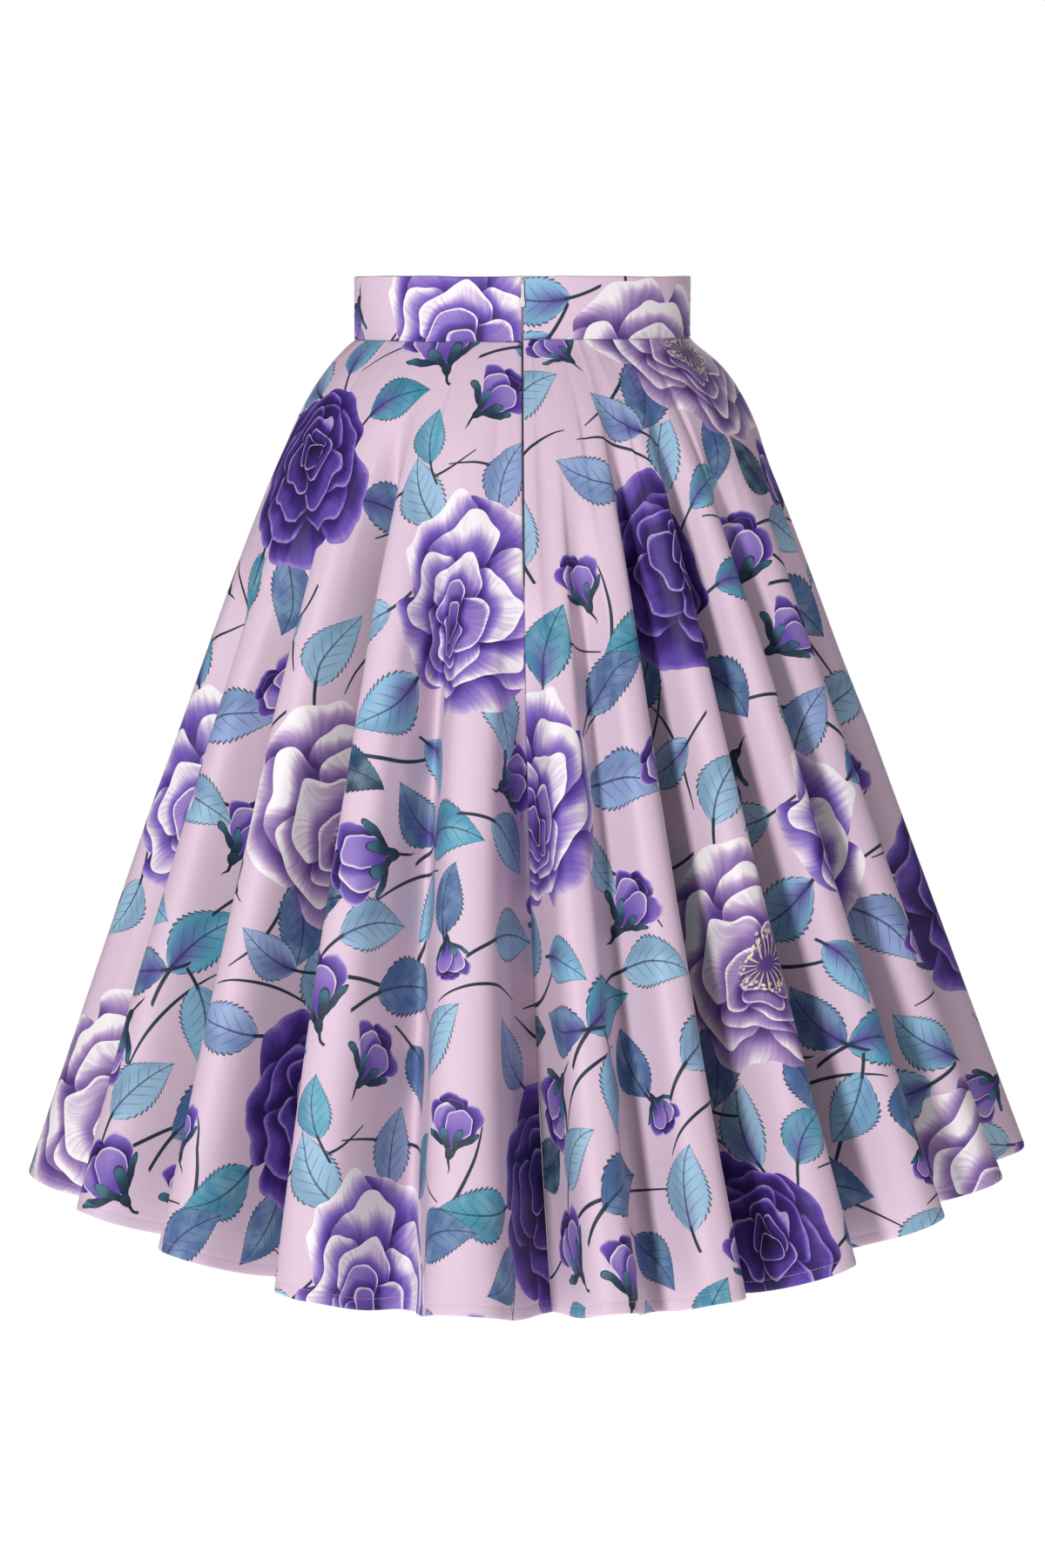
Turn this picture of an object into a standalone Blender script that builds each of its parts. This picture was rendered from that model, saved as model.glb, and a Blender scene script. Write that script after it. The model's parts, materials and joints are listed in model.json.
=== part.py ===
"""A full circle skirt, worn and hollow: a fitted waistband, a half-circle front, two quarter-circle backs
and an invisible zip down the centre back.

Metres, +Z up. The origin is the middle of the waist, halfway up the waistband. The zip is on the -Y side.
Angles round the skirt are in degrees from the -Y direction towards +X.
"""

import math

import bmesh
import bpy
import numpy as np
from mathutils import Vector

# --- driving sizes ---------------------------------------------------------------------------------------------
WAIST_WIDTH = 0.259  # outside, side to side
WAIST_DEPTH = 0.203  # outside, front to back
BAND_HEIGHT = 0.048
BAND_WALL = 0.0024  # two layers of sateen with interfacing between them
BAND_PROUD = 0.0008  # the band's face stands this far out from the skirt's own
BAND_STEP = 0.0018  # the right half of the band ends this much higher at the zip
SKIRT_LENGTH = 0.725  # waist seam to hem, along the cloth at the centre back and front
CLOTH_WALL = 0.0015
SEAM_GAP = 0.0003

# The crests of the folds lie on a bell: a quick spread over the hips, then a straight flare.
FLARE_SIDE = 0.345
FLARE_BACK = 0.365
HIP_SIDE = 0.0275
HIP_BACK = 0.0325
HIP_LENGTH_SIDE = 0.060
HIP_LENGTH_BACK = 0.085
HEM_SHIFT = 0.005  # the hem hangs this far towards +X
HEM_FOLD_DEPTH = 0.082  # valley below crest at the hem, for a share of 1
VALLEY_SHARPNESS = 1.25  # above 1 the valleys are narrower than the crests
ROUNDNESS = 0.50  # 0 is a plain wave; more makes rounder crests with steeper sides between them
FOLD_RAMP = 0.16  # a fold reaches its full share this far below its start

# One row for each valley between two folds, from the centre back round by +X.
# (angle at the waist, angle at the hem, start below the waist seam, share of the fold depth)
VALLEYS = (
    (0.0, 3.0, 0.190, 0.95),  # centre-back seam
    (12.7, 14.5, 0.080, 0.50),
    (26.4, 27.0, 0.010, 1.00),
    (40.0, 42.0, 0.015, 1.08),
    (53.5, 57.5, 0.050, 1.00),
    (70.0, 73.5, 0.120, 0.85),
    (90.0, 92.0, 0.040, 1.00),  # right side seam
    (105.0, 107.0, 0.030, 1.12),
    (120.0, 121.5, 0.070, 1.02),
    (134.5, 137.0, 0.020, 1.15),
    (150.0, 151.0, 0.060, 1.05),
    (165.0, 166.5, 0.110, 0.95),
    (180.0, 181.0, 0.030, 1.15),
    (194.5, 195.5, 0.060, 1.05),
    (209.0, 211.0, 0.020, 1.15),
    (225.0, 225.5, 0.080, 1.00),
    (240.0, 240.0, 0.040, 1.10),
    (255.0, 256.0, 0.060, 1.05),
    (270.0, 270.0, 0.040, 1.00),  # left side seam
    (289.0, 295.5, 0.160, 0.75),
    (306.0, 311.5, 0.100, 0.95),
    (323.5, 327.0, 0.010, 1.10),
    (341.0, 344.0, 0.070, 0.72),
)
# The cloth is cut shorter towards the sides, so that the hem hangs nearly level, and most at the right.
# (angle at the hem, shorter by)
HEM_LIFTS = (
    (-180.0, 0.000),
    (-150.0, 0.007),
    (-120.0, 0.022),
    (-90.0, 0.030),
    (-55.0, 0.033),
    (-42.0, 0.023),
    (-33.0, 0.017),
    (-24.0, 0.005),
    (0.0, 0.000),
    (20.0, 0.004),
    (33.0, 0.013),
    (45.0, 0.028),
    (57.0, 0.039),
    (70.0, 0.043),
    (90.0, 0.042),
    (120.0, 0.026),
    (150.0, 0.008),
    (180.0, 0.000),
)
FOLDS = len(VALLEYS)
RIGHT_SEAM = 6
LEFT_SEAM = 18
COLUMNS_PER_FOLD = 10
ROW_SHARES = (0.0, 0.025, 0.065, 0.12, 0.19, 0.28, 0.38, 0.49, 0.61, 0.74, 0.87, 1.0)
FALL_STEPS = 96  # steps of the sum that hangs each column at its true length

# Zip
ZIP_END_SHARE = 0.28  # of the skirt length: 0.20 m below the waist seam
SLIT = 0.0016
ZIP_CLEAR = 0.0003
CHAIN_WIDTH = 0.0038
CHAIN_WALL = 0.0016
TAPE_WIDTH = 0.0110
TAPE_WALL = 0.0010
TAPE_BELOW_TOP = 0.0010
SLIDER_BELOW_TOP = 0.0015
SLIDER_HEIGHT = 0.0085
SLIDER_DEPTH = 0.0030
SLIDER_EDGE = 0.0006
BRIDGE_WIDTH = 0.0008
BRIDGE_HOLE_RADIUS = 0.00090
BRIDGE_RADIUS = 0.00160
HINGE_BELOW_TOP = 0.0035
HINGE_FROM_BAND = 0.0012
HINGE_Y = -WAIST_DEPTH / 2 - HINGE_FROM_BAND
HINGE_Z = BAND_HEIGHT / 2 - HINGE_BELOW_TOP
PULL_LENGTH = 0.0190
PULL_WALL = 0.0008
PULL_TOP_WIDTH = 0.0026
PULL_END_WIDTH = 0.0040
PULL_NECK_WIDTH = 0.0021
PULL_BAR = 0.0004  # half the height of the bar that lies in the bridge
PULL_WINDOW_WIDTH = 0.0014
PULL_WINDOW_HEIGHT = 0.0017

# Facets
BAND_COLUMNS_PER_FOLD = 4
BAND_ROWS = 3
TAPE_COLUMNS = 4
CHAIN_COLUMNS = 3
BRIDGE_SEGMENTS = 16
ZIP_PHASE_REACH = 0.75  # share of a fold beside the centre back that holds the tape
ZIP_SAMPLES = 61


# --- the surface of the cloth -------------------------------------------------------------------------------------
def valley_column(index):
    """One column of the valley table, closed with the first valley again after a whole turn."""
    turn = (360.0, 360.0, 0.0, 0.0)[index]
    values = [row[index] for row in VALLEYS]
    return np.array(values + [values[0] + turn])


def bell_radius(angle, length):
    """Distance from the axis to the crests, at an angle in radians and a length of cloth below the seam."""
    side_hip = HIP_SIDE * (1.0 - np.exp(-length / HIP_LENGTH_SIDE))
    back_hip = HIP_BACK * (1.0 - np.exp(-length / HIP_LENGTH_BACK))
    side = WAIST_WIDTH / 2 - BAND_PROUD + FLARE_SIDE * length + side_hip
    back = WAIST_DEPTH / 2 - BAND_PROUD + FLARE_BACK * length + back_hip
    return side * back / np.hypot(back * np.sin(angle), side * np.cos(angle))


def fold_place(phase, length):
    """Angle in radians and depth below the crest of a fold phase, where whole numbers are valleys."""
    start = np.minimum(np.floor(phase).astype(int), FOLDS - 1)
    part = phase - start
    waist, hem, begin, share = (valley_column(index) for index in range(4))
    drop = length / SKIRT_LENGTH
    from_angle = waist[start] + (hem[start] - waist[start]) * drop * drop
    to_angle = waist[start + 1] + (hem[start + 1] - waist[start + 1]) * drop * drop
    across = part + ROUNDNESS * np.sin(4.0 * math.pi * part) / (4.0 * math.pi)
    angle = np.radians(from_angle + (to_angle - from_angle) * across)
    nearest = np.where(part < 0.5, start, start + 1)
    ramp = np.clip((length - begin[nearest]) / FOLD_RAMP, 0.0, 1.0)
    ramp = ramp * ramp * (3.0 - 2.0 * ramp)
    dip = (0.5 + 0.5 * np.cos(2.0 * math.pi * part)) ** VALLEY_SHARPNESS
    return angle, HEM_FOLD_DEPTH * share[nearest] * drop * ramp * dip


def seam_height(phase):
    """Height of the waist seam: the right half of the band is shorter, and the front blends the two."""
    across_front = np.clip((np.asarray(phase) - RIGHT_SEAM) / (LEFT_SEAM - RIGHT_SEAM), 0.0, 1.0)
    return -BAND_HEIGHT / 2 + BAND_STEP * (1.0 - across_front)


def drape(phases, shares):
    """Outer face of the cloth, shares x phases x 3, each column hung at its own length of cloth."""
    phases = np.asarray(phases, float)
    end_angle = fold_place(phases, np.full(len(phases), SKIRT_LENGTH))[0]
    turn = np.mod(np.degrees(end_angle) + 180.0, 360.0) - 180.0
    cut = SKIRT_LENGTH - np.interp(turn, [row[0] for row in HEM_LIFTS], [row[1] for row in HEM_LIFTS])
    steps = np.linspace(0.0, 1.0, FALL_STEPS + 1)[:, None]
    length = steps * cut[None, :]
    angle, depth = fold_place(np.broadcast_to(phases, length.shape), length)
    radius = bell_radius(angle, length) - depth
    x = radius * np.sin(angle) + HEM_SHIFT * (length / SKIRT_LENGTH) ** 2
    y = -radius * np.cos(angle)
    run = np.hypot(np.diff(x, axis=0), np.diff(y, axis=0))
    fall = np.sqrt(np.maximum(np.diff(length, axis=0) ** 2 - run**2, 0.0))
    z = -BAND_HEIGHT / 2 - SEAM_GAP - np.vstack([np.zeros(len(phases)), np.cumsum(fall, axis=0)])
    z[0] = seam_height(phases) - SEAM_GAP
    rows = np.asarray(shares, float) * FALL_STEPS
    grid = np.empty((len(rows), len(phases), 3))
    for column in range(len(phases)):
        for axis, values in enumerate((x, y, z)):
            grid[:, column, axis] = np.interp(rows, np.arange(FALL_STEPS + 1), values[:, column])
    return grid


def band_outline(angle):
    """Outer face of the waistband at an angle in radians."""
    side, back = WAIST_WIDTH / 2, WAIST_DEPTH / 2
    radius = side * back / np.hypot(back * np.sin(angle), side * np.cos(angle))
    return radius * np.sin(angle), -radius * np.cos(angle)


# --- tools --------------------------------------------------------------------------------------------------------
def clear_scene():
    for item in list(bpy.data.objects):
        bpy.data.objects.remove(item, do_unlink=True)


def material(name, colour, roughness, metallic=0.0):
    """A Principled material."""
    made = bpy.data.materials.new(name)
    made.use_nodes = True
    shader = made.node_tree.nodes["Principled BSDF"]
    shader.inputs["Base Color"].default_value = (*colour, 1.0)
    shader.inputs["Roughness"].default_value = roughness
    shader.inputs["Metallic"].default_value = metallic
    return made


def add_object(name, mesh, finish):
    item = bpy.data.objects.new(name, mesh)
    item.data.materials.append(finish)
    skirt.objects.link(item)
    return item


def cloth_wall(name, grid, thickness, finish):
    """A grid of points (rows x columns x 3, rows downwards) as an open sheet with a wall added inwards."""
    rows, columns = grid.shape[:2]
    faces = [
        (r * columns + c, (r + 1) * columns + c, (r + 1) * columns + c + 1, r * columns + c + 1)
        for r in range(rows - 1)
        for c in range(columns - 1)
    ]
    mesh = bpy.data.meshes.new(name)
    mesh.from_pydata([tuple(point) for point in grid.reshape(-1, 3)], [], faces)
    mesh.shade_smooth()
    item = add_object(name, mesh, finish)
    solid = item.modifiers.new("Wall", "SOLIDIFY")
    solid.thickness = thickness
    solid.offset = -1.0
    return item


def draw_apart(grid, first, last):
    """Pull the first and last columns of a panel back along the cloth, to leave room for a seam."""
    for edge, inner, room in ((0, 1, first), (-1, -2, last)):
        along = grid[:, inner] - grid[:, edge]
        reach = np.linalg.norm(along, axis=1, keepdims=True)
        grid[:, edge] += along / reach * np.minimum(np.reshape(room, (-1, 1)), reach * 0.6)
    return grid


# --- waistband ------------------------------------------------------------------------------------------------------
def band_wall(name, first_phase, last_phase, first_room, last_room, finish):
    """One length of the waistband, over the same stretch as the skirt panel below it."""
    columns = round((last_phase - first_phase) * BAND_COLUMNS_PER_FOLD) + 1
    phases = np.linspace(first_phase, last_phase, columns)
    angle = fold_place(phases, np.zeros(columns))[0]
    x, y = band_outline(angle)
    bottom = seam_height(phases)
    grid = np.empty((BAND_ROWS, columns, 3))
    for row in range(BAND_ROWS):
        share = row / (BAND_ROWS - 1)
        height = BAND_HEIGHT / 2 * (1.0 - share) + bottom * share
        grid[row] = np.stack([x, y, height], axis=1)
    return cloth_wall(name, draw_apart(grid, first_room, last_room), BAND_WALL, finish)


# --- skirt panels ---------------------------------------------------------------------------------------------------
def panel(name, first_phase, last_phase, first_room, last_room, finish):
    """One panel of the skirt between two seams, each of which lies in a valley."""
    columns = (last_phase - first_phase) * COLUMNS_PER_FOLD + 1
    grid = drape(np.linspace(first_phase, last_phase, columns), ROW_SHARES)
    return cloth_wall(name, draw_apart(grid, first_room, last_room), CLOTH_WALL, finish)


def zip_edge_room():
    """Half the seam at each row of the centre back: a slit over the zip, a plain seam below it."""
    return np.where(np.array(ROW_SHARES) < ZIP_END_SHARE, SLIT / 2, SEAM_GAP / 2)


# --- zip ------------------------------------------------------------------------------------------------------------
def behind_slit(distances, band_from, side):
    """Points on the inner face of band and skirt, at distances along the cloth from the centre back.

    The face is that of the right side (side 1) or the left (side -1), mirrored past the centre back.
    Rows run down the band from the height band_from, then down the panels' own rows to the end of the zip."""
    reach = np.linspace(0.0, ZIP_PHASE_REACH, ZIP_SAMPLES)
    phases = reach if side > 0 else FOLDS - reach
    rows = []
    angle = fold_place(phases, np.zeros(ZIP_SAMPLES))[0]
    x, y = band_outline(angle)
    for height in (band_from, seam_height(phases[0])):
        rows.append((np.stack([x, y, np.full(ZIP_SAMPLES, height)], axis=1), BAND_WALL))
    for row in drape(phases, [share for share in ROW_SHARES if share <= ZIP_END_SHARE]):
        rows.append((row, CLOTH_WALL))
    grid = np.empty((len(rows), len(distances), 3))
    walls = np.empty((len(rows), 1, 1))
    for index, (line, wall) in enumerate(rows):
        walls[index] = wall
        along = np.concatenate([[0.0], np.cumsum(np.linalg.norm(np.diff(line, axis=0), axis=1))])
        for axis in range(3):
            grid[index, :, axis] = np.interp(np.abs(distances), along, line[:, axis])
        mirrored = 2.0 * line[0, 0] - grid[index, :, 0]
        grid[index, :, 0] = np.where(distances * side < 0, mirrored, grid[index, :, 0])
    across = np.gradient(grid, axis=1)
    down = np.gradient(grid, axis=0)
    normal = np.cross(down, across)
    normal /= np.linalg.norm(normal, axis=2, keepdims=True)
    return grid - normal * (walls + ZIP_CLEAR)


def zip_strip(name, distances, band_from, side, thickness, finish):
    return cloth_wall(name, behind_slit(distances, band_from, side), thickness, finish)


def bevelled_box(low, high, width):
    """A box between two corners, with rounded edges, as a bmesh."""
    shape = bmesh.new()
    bmesh.ops.create_cube(shape, size=1.0)
    low, high = Vector(low), Vector(high)
    for vertex in shape.verts:
        for axis in range(3):
            vertex.co[axis] = low[axis] if vertex.co[axis] < 0 else high[axis]
    if width:
        bmesh.ops.bevel(shape, geom=shape.edges[:], offset=width, segments=2, profile=0.5, affect="EDGES")
    return shape


def rod_across(radius, width, height, depth):
    """A round bar along X, centred on x = 0, as a bmesh."""
    shape = bmesh.new()
    bmesh.ops.create_cone(shape, cap_ends=True, segments=BRIDGE_SEGMENTS, radius1=radius, radius2=radius, depth=width)
    for vertex in shape.verts:
        across, y, z = vertex.co.z, vertex.co.x, vertex.co.y
        vertex.co = Vector((across, depth + y, height + z))
    return shape


def helper(name, shape):
    """A hidden object that a Boolean reads."""
    mesh = bpy.data.meshes.new(name)
    shape.to_mesh(mesh)
    shape.free()
    item = bpy.data.objects.new(name, mesh)
    item.hide_render = True
    item.display_type = "WIRE"
    cutters.objects.link(item)
    return item


def boolean(item, other, operation):
    cut = item.modifiers.new(other.name, "BOOLEAN")
    cut.operation = operation
    cut.object = other


def slider(finish):
    """The slider's body behind the slit, with a round bridge that stands out through it."""
    band_face = -WAIST_DEPTH / 2
    inner_face = band_face + BAND_WALL + ZIP_CLEAR
    top = BAND_HEIGHT / 2 - SLIDER_BELOW_TOP
    shape = bevelled_box(
        (-CHAIN_WIDTH / 2, inner_face, top - SLIDER_HEIGHT),
        (CHAIN_WIDTH / 2, inner_face + SLIDER_DEPTH, top),
        SLIDER_EDGE,
    )
    mesh = bpy.data.meshes.new("zip_slider")
    shape.to_mesh(mesh)
    shape.free()
    item = add_object("zip_slider", mesh, finish)
    neck = bevelled_box(
        (-BRIDGE_WIDTH / 2, HINGE_Y + BRIDGE_HOLE_RADIUS, HINGE_Z - BRIDGE_HOLE_RADIUS),
        (BRIDGE_WIDTH / 2, inner_face + SLIDER_DEPTH / 2, HINGE_Z + BRIDGE_HOLE_RADIUS),
        0.0,
    )
    boolean(item, helper("slider_neck", neck), "UNION")
    ring = rod_across(BRIDGE_RADIUS, BRIDGE_WIDTH * 0.98, HINGE_Z, HINGE_Y)
    boolean(item, helper("slider_ring", ring), "UNION")
    hole = rod_across(BRIDGE_HOLE_RADIUS, BRIDGE_WIDTH * 3.0, HINGE_Z, HINGE_Y)
    boolean(item, helper("slider_hole", hole), "DIFFERENCE")
    return item


def pull_outline():
    """The pull tab's edge, from its top right corner clockwise, measured down from the hinge."""
    top, neck, end = PULL_TOP_WIDTH / 2, PULL_NECK_WIDTH / 2, PULL_END_WIDTH / 2
    shoulder = -PULL_BAR - PULL_WINDOW_HEIGHT
    centre = -PULL_LENGTH + end
    half = [(top, PULL_BAR), (top, shoulder), (neck, shoulder * 2.5), (neck, centre * 0.6), (end, centre)]
    for turn in (-30, -60):
        around = math.radians(turn)
        half.append((end * math.cos(around), centre + end * math.sin(around)))
    return half + [(0.0, -PULL_LENGTH)] + [(-x, z) for x, z in reversed(half)]


def pull(finish):
    """The flat pull tab, whose window goes round the slider's bridge. Its origin is on the hinge."""
    curve = bpy.data.curves.new("zip_pull", "CURVE")
    curve.dimensions = "2D"
    curve.fill_mode = "BOTH"
    curve.extrude = PULL_WALL / 2
    side, high = PULL_WINDOW_WIDTH / 2, -PULL_BAR
    low = high - PULL_WINDOW_HEIGHT
    window = [(-side, high), (side, high), (side, low), (-side, low)]
    for outline in (pull_outline(), window):
        spline = curve.splines.new("POLY")
        spline.points.add(len(outline) - 1)
        for point, (x, z) in zip(spline.points, outline):
            point.co = (x, z, 0.0, 1.0)
        spline.use_cyclic_u = True
    flat = bpy.data.objects.new("zip_pull_outline", curve)
    skirt.objects.link(flat)
    bpy.context.view_layer.update()
    evaluated = flat.evaluated_get(bpy.context.evaluated_depsgraph_get())
    mesh = bpy.data.meshes.new_from_object(evaluated)
    bpy.data.objects.remove(flat, do_unlink=True)
    shape = bmesh.new()
    shape.from_mesh(mesh)
    bmesh.ops.remove_doubles(shape, verts=shape.verts[:], dist=1e-6)
    bmesh.ops.recalc_face_normals(shape, faces=shape.faces[:])
    shape.to_mesh(mesh)
    shape.free()
    mesh.name = "zip_pull"
    mesh.materials.clear()
    item = add_object("zip_pull", mesh, finish)
    item.location = (0.0, HINGE_Y, HINGE_Z)
    item.rotation_euler = (math.radians(90.0), 0.0, 0.0)
    return item


# --- the whole skirt ------------------------------------------------------------------------------------------------
clear_scene()
skirt = bpy.data.collections.new("circle_skirt")
cutters = bpy.data.collections.new("cutters")
for collection in (skirt, cutters):
    bpy.context.scene.collection.children.link(collection)

front_cloth = material("sateen_front", (0.74, 0.60, 0.76), 0.55)
left_cloth = material("sateen_back_left", (0.74, 0.60, 0.76), 0.55)
right_cloth = material("sateen_back_right", (0.74, 0.60, 0.76), 0.55)
band_cloth = material("sateen_band", (0.74, 0.60, 0.76), 0.55)
tape_cloth = material("zip_tape", (0.66, 0.54, 0.70), 0.75)
chain_nylon = material("zip_chain", (0.30, 0.24, 0.34), 0.45)
pull_metal = material("zip_metal", (0.82, 0.80, 0.76), 0.30, 1.0)

half_seam = SEAM_GAP / 2
zip_room = zip_edge_room()
panel("skirt_back_right", 0, RIGHT_SEAM, zip_room, half_seam, right_cloth)
panel("skirt_front", RIGHT_SEAM, LEFT_SEAM, half_seam, half_seam, front_cloth)
panel("skirt_back_left", LEFT_SEAM, FOLDS, half_seam, zip_room, left_cloth)
band_seam = half_seam + BAND_WALL * math.tan(math.radians(180.0 / FOLDS / BAND_COLUMNS_PER_FOLD))
band_wall("waistband_back_right", 0, RIGHT_SEAM, SLIT / 2, band_seam, band_cloth)
band_wall("waistband_front", RIGHT_SEAM, LEFT_SEAM, band_seam, band_seam, band_cloth)
band_wall("waistband_back_left", LEFT_SEAM, FOLDS, band_seam, SLIT / 2, band_cloth)

tape_from = CHAIN_WIDTH / 2 + ZIP_CLEAR
tape_top = BAND_HEIGHT / 2 - TAPE_BELOW_TOP
tape_across = np.linspace(tape_from, tape_from + TAPE_WIDTH, TAPE_COLUMNS)
zip_strip("zip_tape_right", tape_across, tape_top, 1, TAPE_WALL, tape_cloth)
zip_strip("zip_tape_left", -tape_across[::-1], tape_top, -1, TAPE_WALL, tape_cloth)
chain_top = BAND_HEIGHT / 2 - SLIDER_BELOW_TOP - SLIDER_HEIGHT - ZIP_CLEAR
chain_across = np.linspace(-CHAIN_WIDTH / 2, CHAIN_WIDTH / 2, CHAIN_COLUMNS)
zip_strip("zip_chain", chain_across, chain_top, -1, CHAIN_WALL, chain_nylon)
slider(pull_metal)
pull(pull_metal)
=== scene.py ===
# %% [markdown]
# # A circle skirt in floral sateen
#
# A full circle skirt is a ring of cloth. Its inner edge is sewn to a fitted waistband and its outer edge is
# the hem. Here the front is a half ring and the back is two quarter rings, with an invisible zip in the seam
# between them. The ring's outer edge is about twice as long as the space round the wearer, so the cloth falls
# in deep flutes. The skirt is worn, but nobody is in it: it stands open from the waist to the hem.
#
# This script dresses a imported model of the skirt. The imported model gives the heights of the camera and the
# floor, the lamps' aim, the foot of the zip's slider and the hinge of its pull tab. The fine cloth follows the
# same surface, so nothing has to be fitted by eye.

# %% The frame
import json
import math
from functools import partial

import bmesh
import bpy
import numpy as np
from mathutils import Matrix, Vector


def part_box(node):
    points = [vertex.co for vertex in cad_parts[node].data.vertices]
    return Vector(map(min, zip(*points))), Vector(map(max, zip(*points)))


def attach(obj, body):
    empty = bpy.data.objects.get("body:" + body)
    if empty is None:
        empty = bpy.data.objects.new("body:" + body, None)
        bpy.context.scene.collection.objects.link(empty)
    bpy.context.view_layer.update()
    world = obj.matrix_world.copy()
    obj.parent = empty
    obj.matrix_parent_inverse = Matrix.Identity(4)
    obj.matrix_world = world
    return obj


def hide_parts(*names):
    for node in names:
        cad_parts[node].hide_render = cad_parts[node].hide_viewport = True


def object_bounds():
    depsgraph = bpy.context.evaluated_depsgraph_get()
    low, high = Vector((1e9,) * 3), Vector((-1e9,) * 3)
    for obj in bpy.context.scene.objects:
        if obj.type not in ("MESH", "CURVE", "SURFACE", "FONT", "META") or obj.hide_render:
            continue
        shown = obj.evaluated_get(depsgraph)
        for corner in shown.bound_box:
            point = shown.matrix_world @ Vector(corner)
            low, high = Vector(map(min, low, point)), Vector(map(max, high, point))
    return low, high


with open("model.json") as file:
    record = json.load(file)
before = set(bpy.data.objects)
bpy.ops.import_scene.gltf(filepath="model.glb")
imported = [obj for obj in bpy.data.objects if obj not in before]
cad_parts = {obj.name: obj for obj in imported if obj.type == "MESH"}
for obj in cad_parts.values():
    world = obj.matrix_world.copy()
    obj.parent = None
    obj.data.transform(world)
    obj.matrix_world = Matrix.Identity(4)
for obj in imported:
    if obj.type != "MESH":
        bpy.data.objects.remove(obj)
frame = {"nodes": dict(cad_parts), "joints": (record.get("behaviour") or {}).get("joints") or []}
cad_low, cad_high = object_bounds()
print("packed model from", *(tuple(round(value, 3) for value in corner) for corner in (cad_low, cad_high)))

# %% [markdown]
# ## The camera and the light
#
# The skirt is seen from behind, from the height of its waistband and a little under three metres away. A
# camera that stood level would have to be shifted to bring the hem into view. This one is pitched down
# instead, because a pitch stays true when the camera is later moved round the skirt.

# %% Camera
DISTANCE, PITCH = 2.70, 8.3  # metres, and degrees down
LENS, SENSOR = 79.9, 36.0  # millimetres


def add_object(name, data):
    made = bpy.data.objects.new(name, data)
    bpy.context.scene.collection.objects.link(made)
    return made


camera_data = bpy.data.cameras.new("waist_height_camera")
camera_data.lens, camera_data.sensor_width = LENS, SENSOR
camera = add_object("waist_height_camera", camera_data)
camera.location = (0.0, -DISTANCE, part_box("waistband_front")[1].z)
camera.rotation_euler = (math.radians(90.0 - PITCH), 0.0, 0.0)
bpy.context.scene.camera = camera
print("camera at", tuple(round(value, 3) for value in camera.location))

# %% [markdown]
# The light is that of a white studio: one broad source in front and to the left, a weaker one on the right, a
# soft one from above, and white walls. White walls would wash the folds out if they also lit the cloth at
# full strength, so the world shows white to the camera and gives the cloth less.

# %% Light
WALL_GLOW, WALL_TINT = 0.045, (1.0, 0.88, 0.97, 1.0)  # the walls' light on the cloth, tinted by the skirt
WHITE = (1.0, 1.0, 1.0, 1.0)
# name, place, size, watts, colour
LAMPS = (
    ("key_left", (-1.65, -3.2, 1.0), 0.6, 103.0, (1.0, 0.99, 0.98)),
    ("fill_right", (2.6, -2.3, 0.3), 1.0, 14.0, (1.0, 0.92, 0.97)),
    ("top_soft", (0.2, -0.6, 2.4), 1.6, 8.0, WHITE[:3]),
    ("behind_soft", (0.6, 2.8, 0.8), 1.8, 24.0, WHITE[:3]),
)
for name, place, size, watts, colour in LAMPS:
    data = bpy.data.lights.new(name, "AREA")
    data.shape, data.size, data.energy, data.color = "DISK", size, watts, colour
    lamp = add_object(name, data)
    lamp.location = place
    lamp.rotation_euler = ((cad_low + cad_high) / 2 - Vector(place)).to_track_quat("-Z", "Y").to_euler()

world = bpy.data.worlds.new("white_studio")
world.use_nodes = True
tree = world.node_tree
walls = tree.nodes["Background"]
seen, rays, either = (
    tree.nodes.new("ShaderNode" + kind) for kind in ("Background", "LightPath", "MixShader")
)
walls.inputs["Color"].default_value, walls.inputs["Strength"].default_value = WALL_TINT, WALL_GLOW
seen.inputs["Color"].default_value = WHITE
for number, socket in enumerate((rays.outputs["Is Camera Ray"], walls.outputs[0], seen.outputs[0])):
    tree.links.new(socket, either.inputs[number])
tree.links.new(either.outputs[0], tree.nodes["World Output"].inputs[0])
bpy.context.scene.world = world
bpy.context.scene.view_settings.view_transform = "Standard"
bpy.context.scene.cycles.max_bounces, bpy.context.scene.cycles.diffuse_bounces = 3, 1
print("lights:", [item.name for item in bpy.data.lights])

# %% [markdown]
# The floor is far below the hem, because the wearer's legs would be there. It is pale and catches no shadow
# that shows.

# %% Floor
FLOOR_DROP, FLOOR_REACH, FLOOR_SIDES = 1.7, 9.0, 96  # below the hem, and how far it goes

mesh = bpy.data.meshes.new("pale_floor")
shape = bmesh.new()
bmesh.ops.create_circle(shape, cap_ends=True, segments=FLOOR_SIDES, radius=FLOOR_REACH)
shape.to_mesh(mesh)
shape.free()
floor = add_object("pale_floor", mesh)
floor.location = (0.0, 0.0, cad_low.z - FLOOR_DROP)
floor_paint = bpy.data.materials.new("pale_floor")
floor_paint.use_nodes = True
paint = (("Base Color", (0.90, 0.90, 0.90, 1.0)), ("Roughness", 0.9), ("Emission Color", WHITE),
         ("Emission Strength", 1.0))
for name, value in paint:
    floor_paint.node_tree.nodes["Principled BSDF"].inputs[name].default_value = value
mesh.materials.append(floor_paint)
print("floor at", round(floor.location.z, 2))

# %% [markdown]
# ## The shape of hanging cloth
#
# The crests of the flutes lie on a bell: it spreads quickly over the hips and then flares in a straight line.
# Between two crests the cloth falls back into a valley. A table gives each valley's angle at the waist and at
# the hem, how far below the waist it starts, and its share of the full fold depth.
#
# A cloth simulation could find such folds, but it would choose their number and places itself. A skirt that
# is modelled from a table keeps the folds where they are wanted, and every panel, seam, stitch and zip tape
# can read its place from the same few functions.

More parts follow.
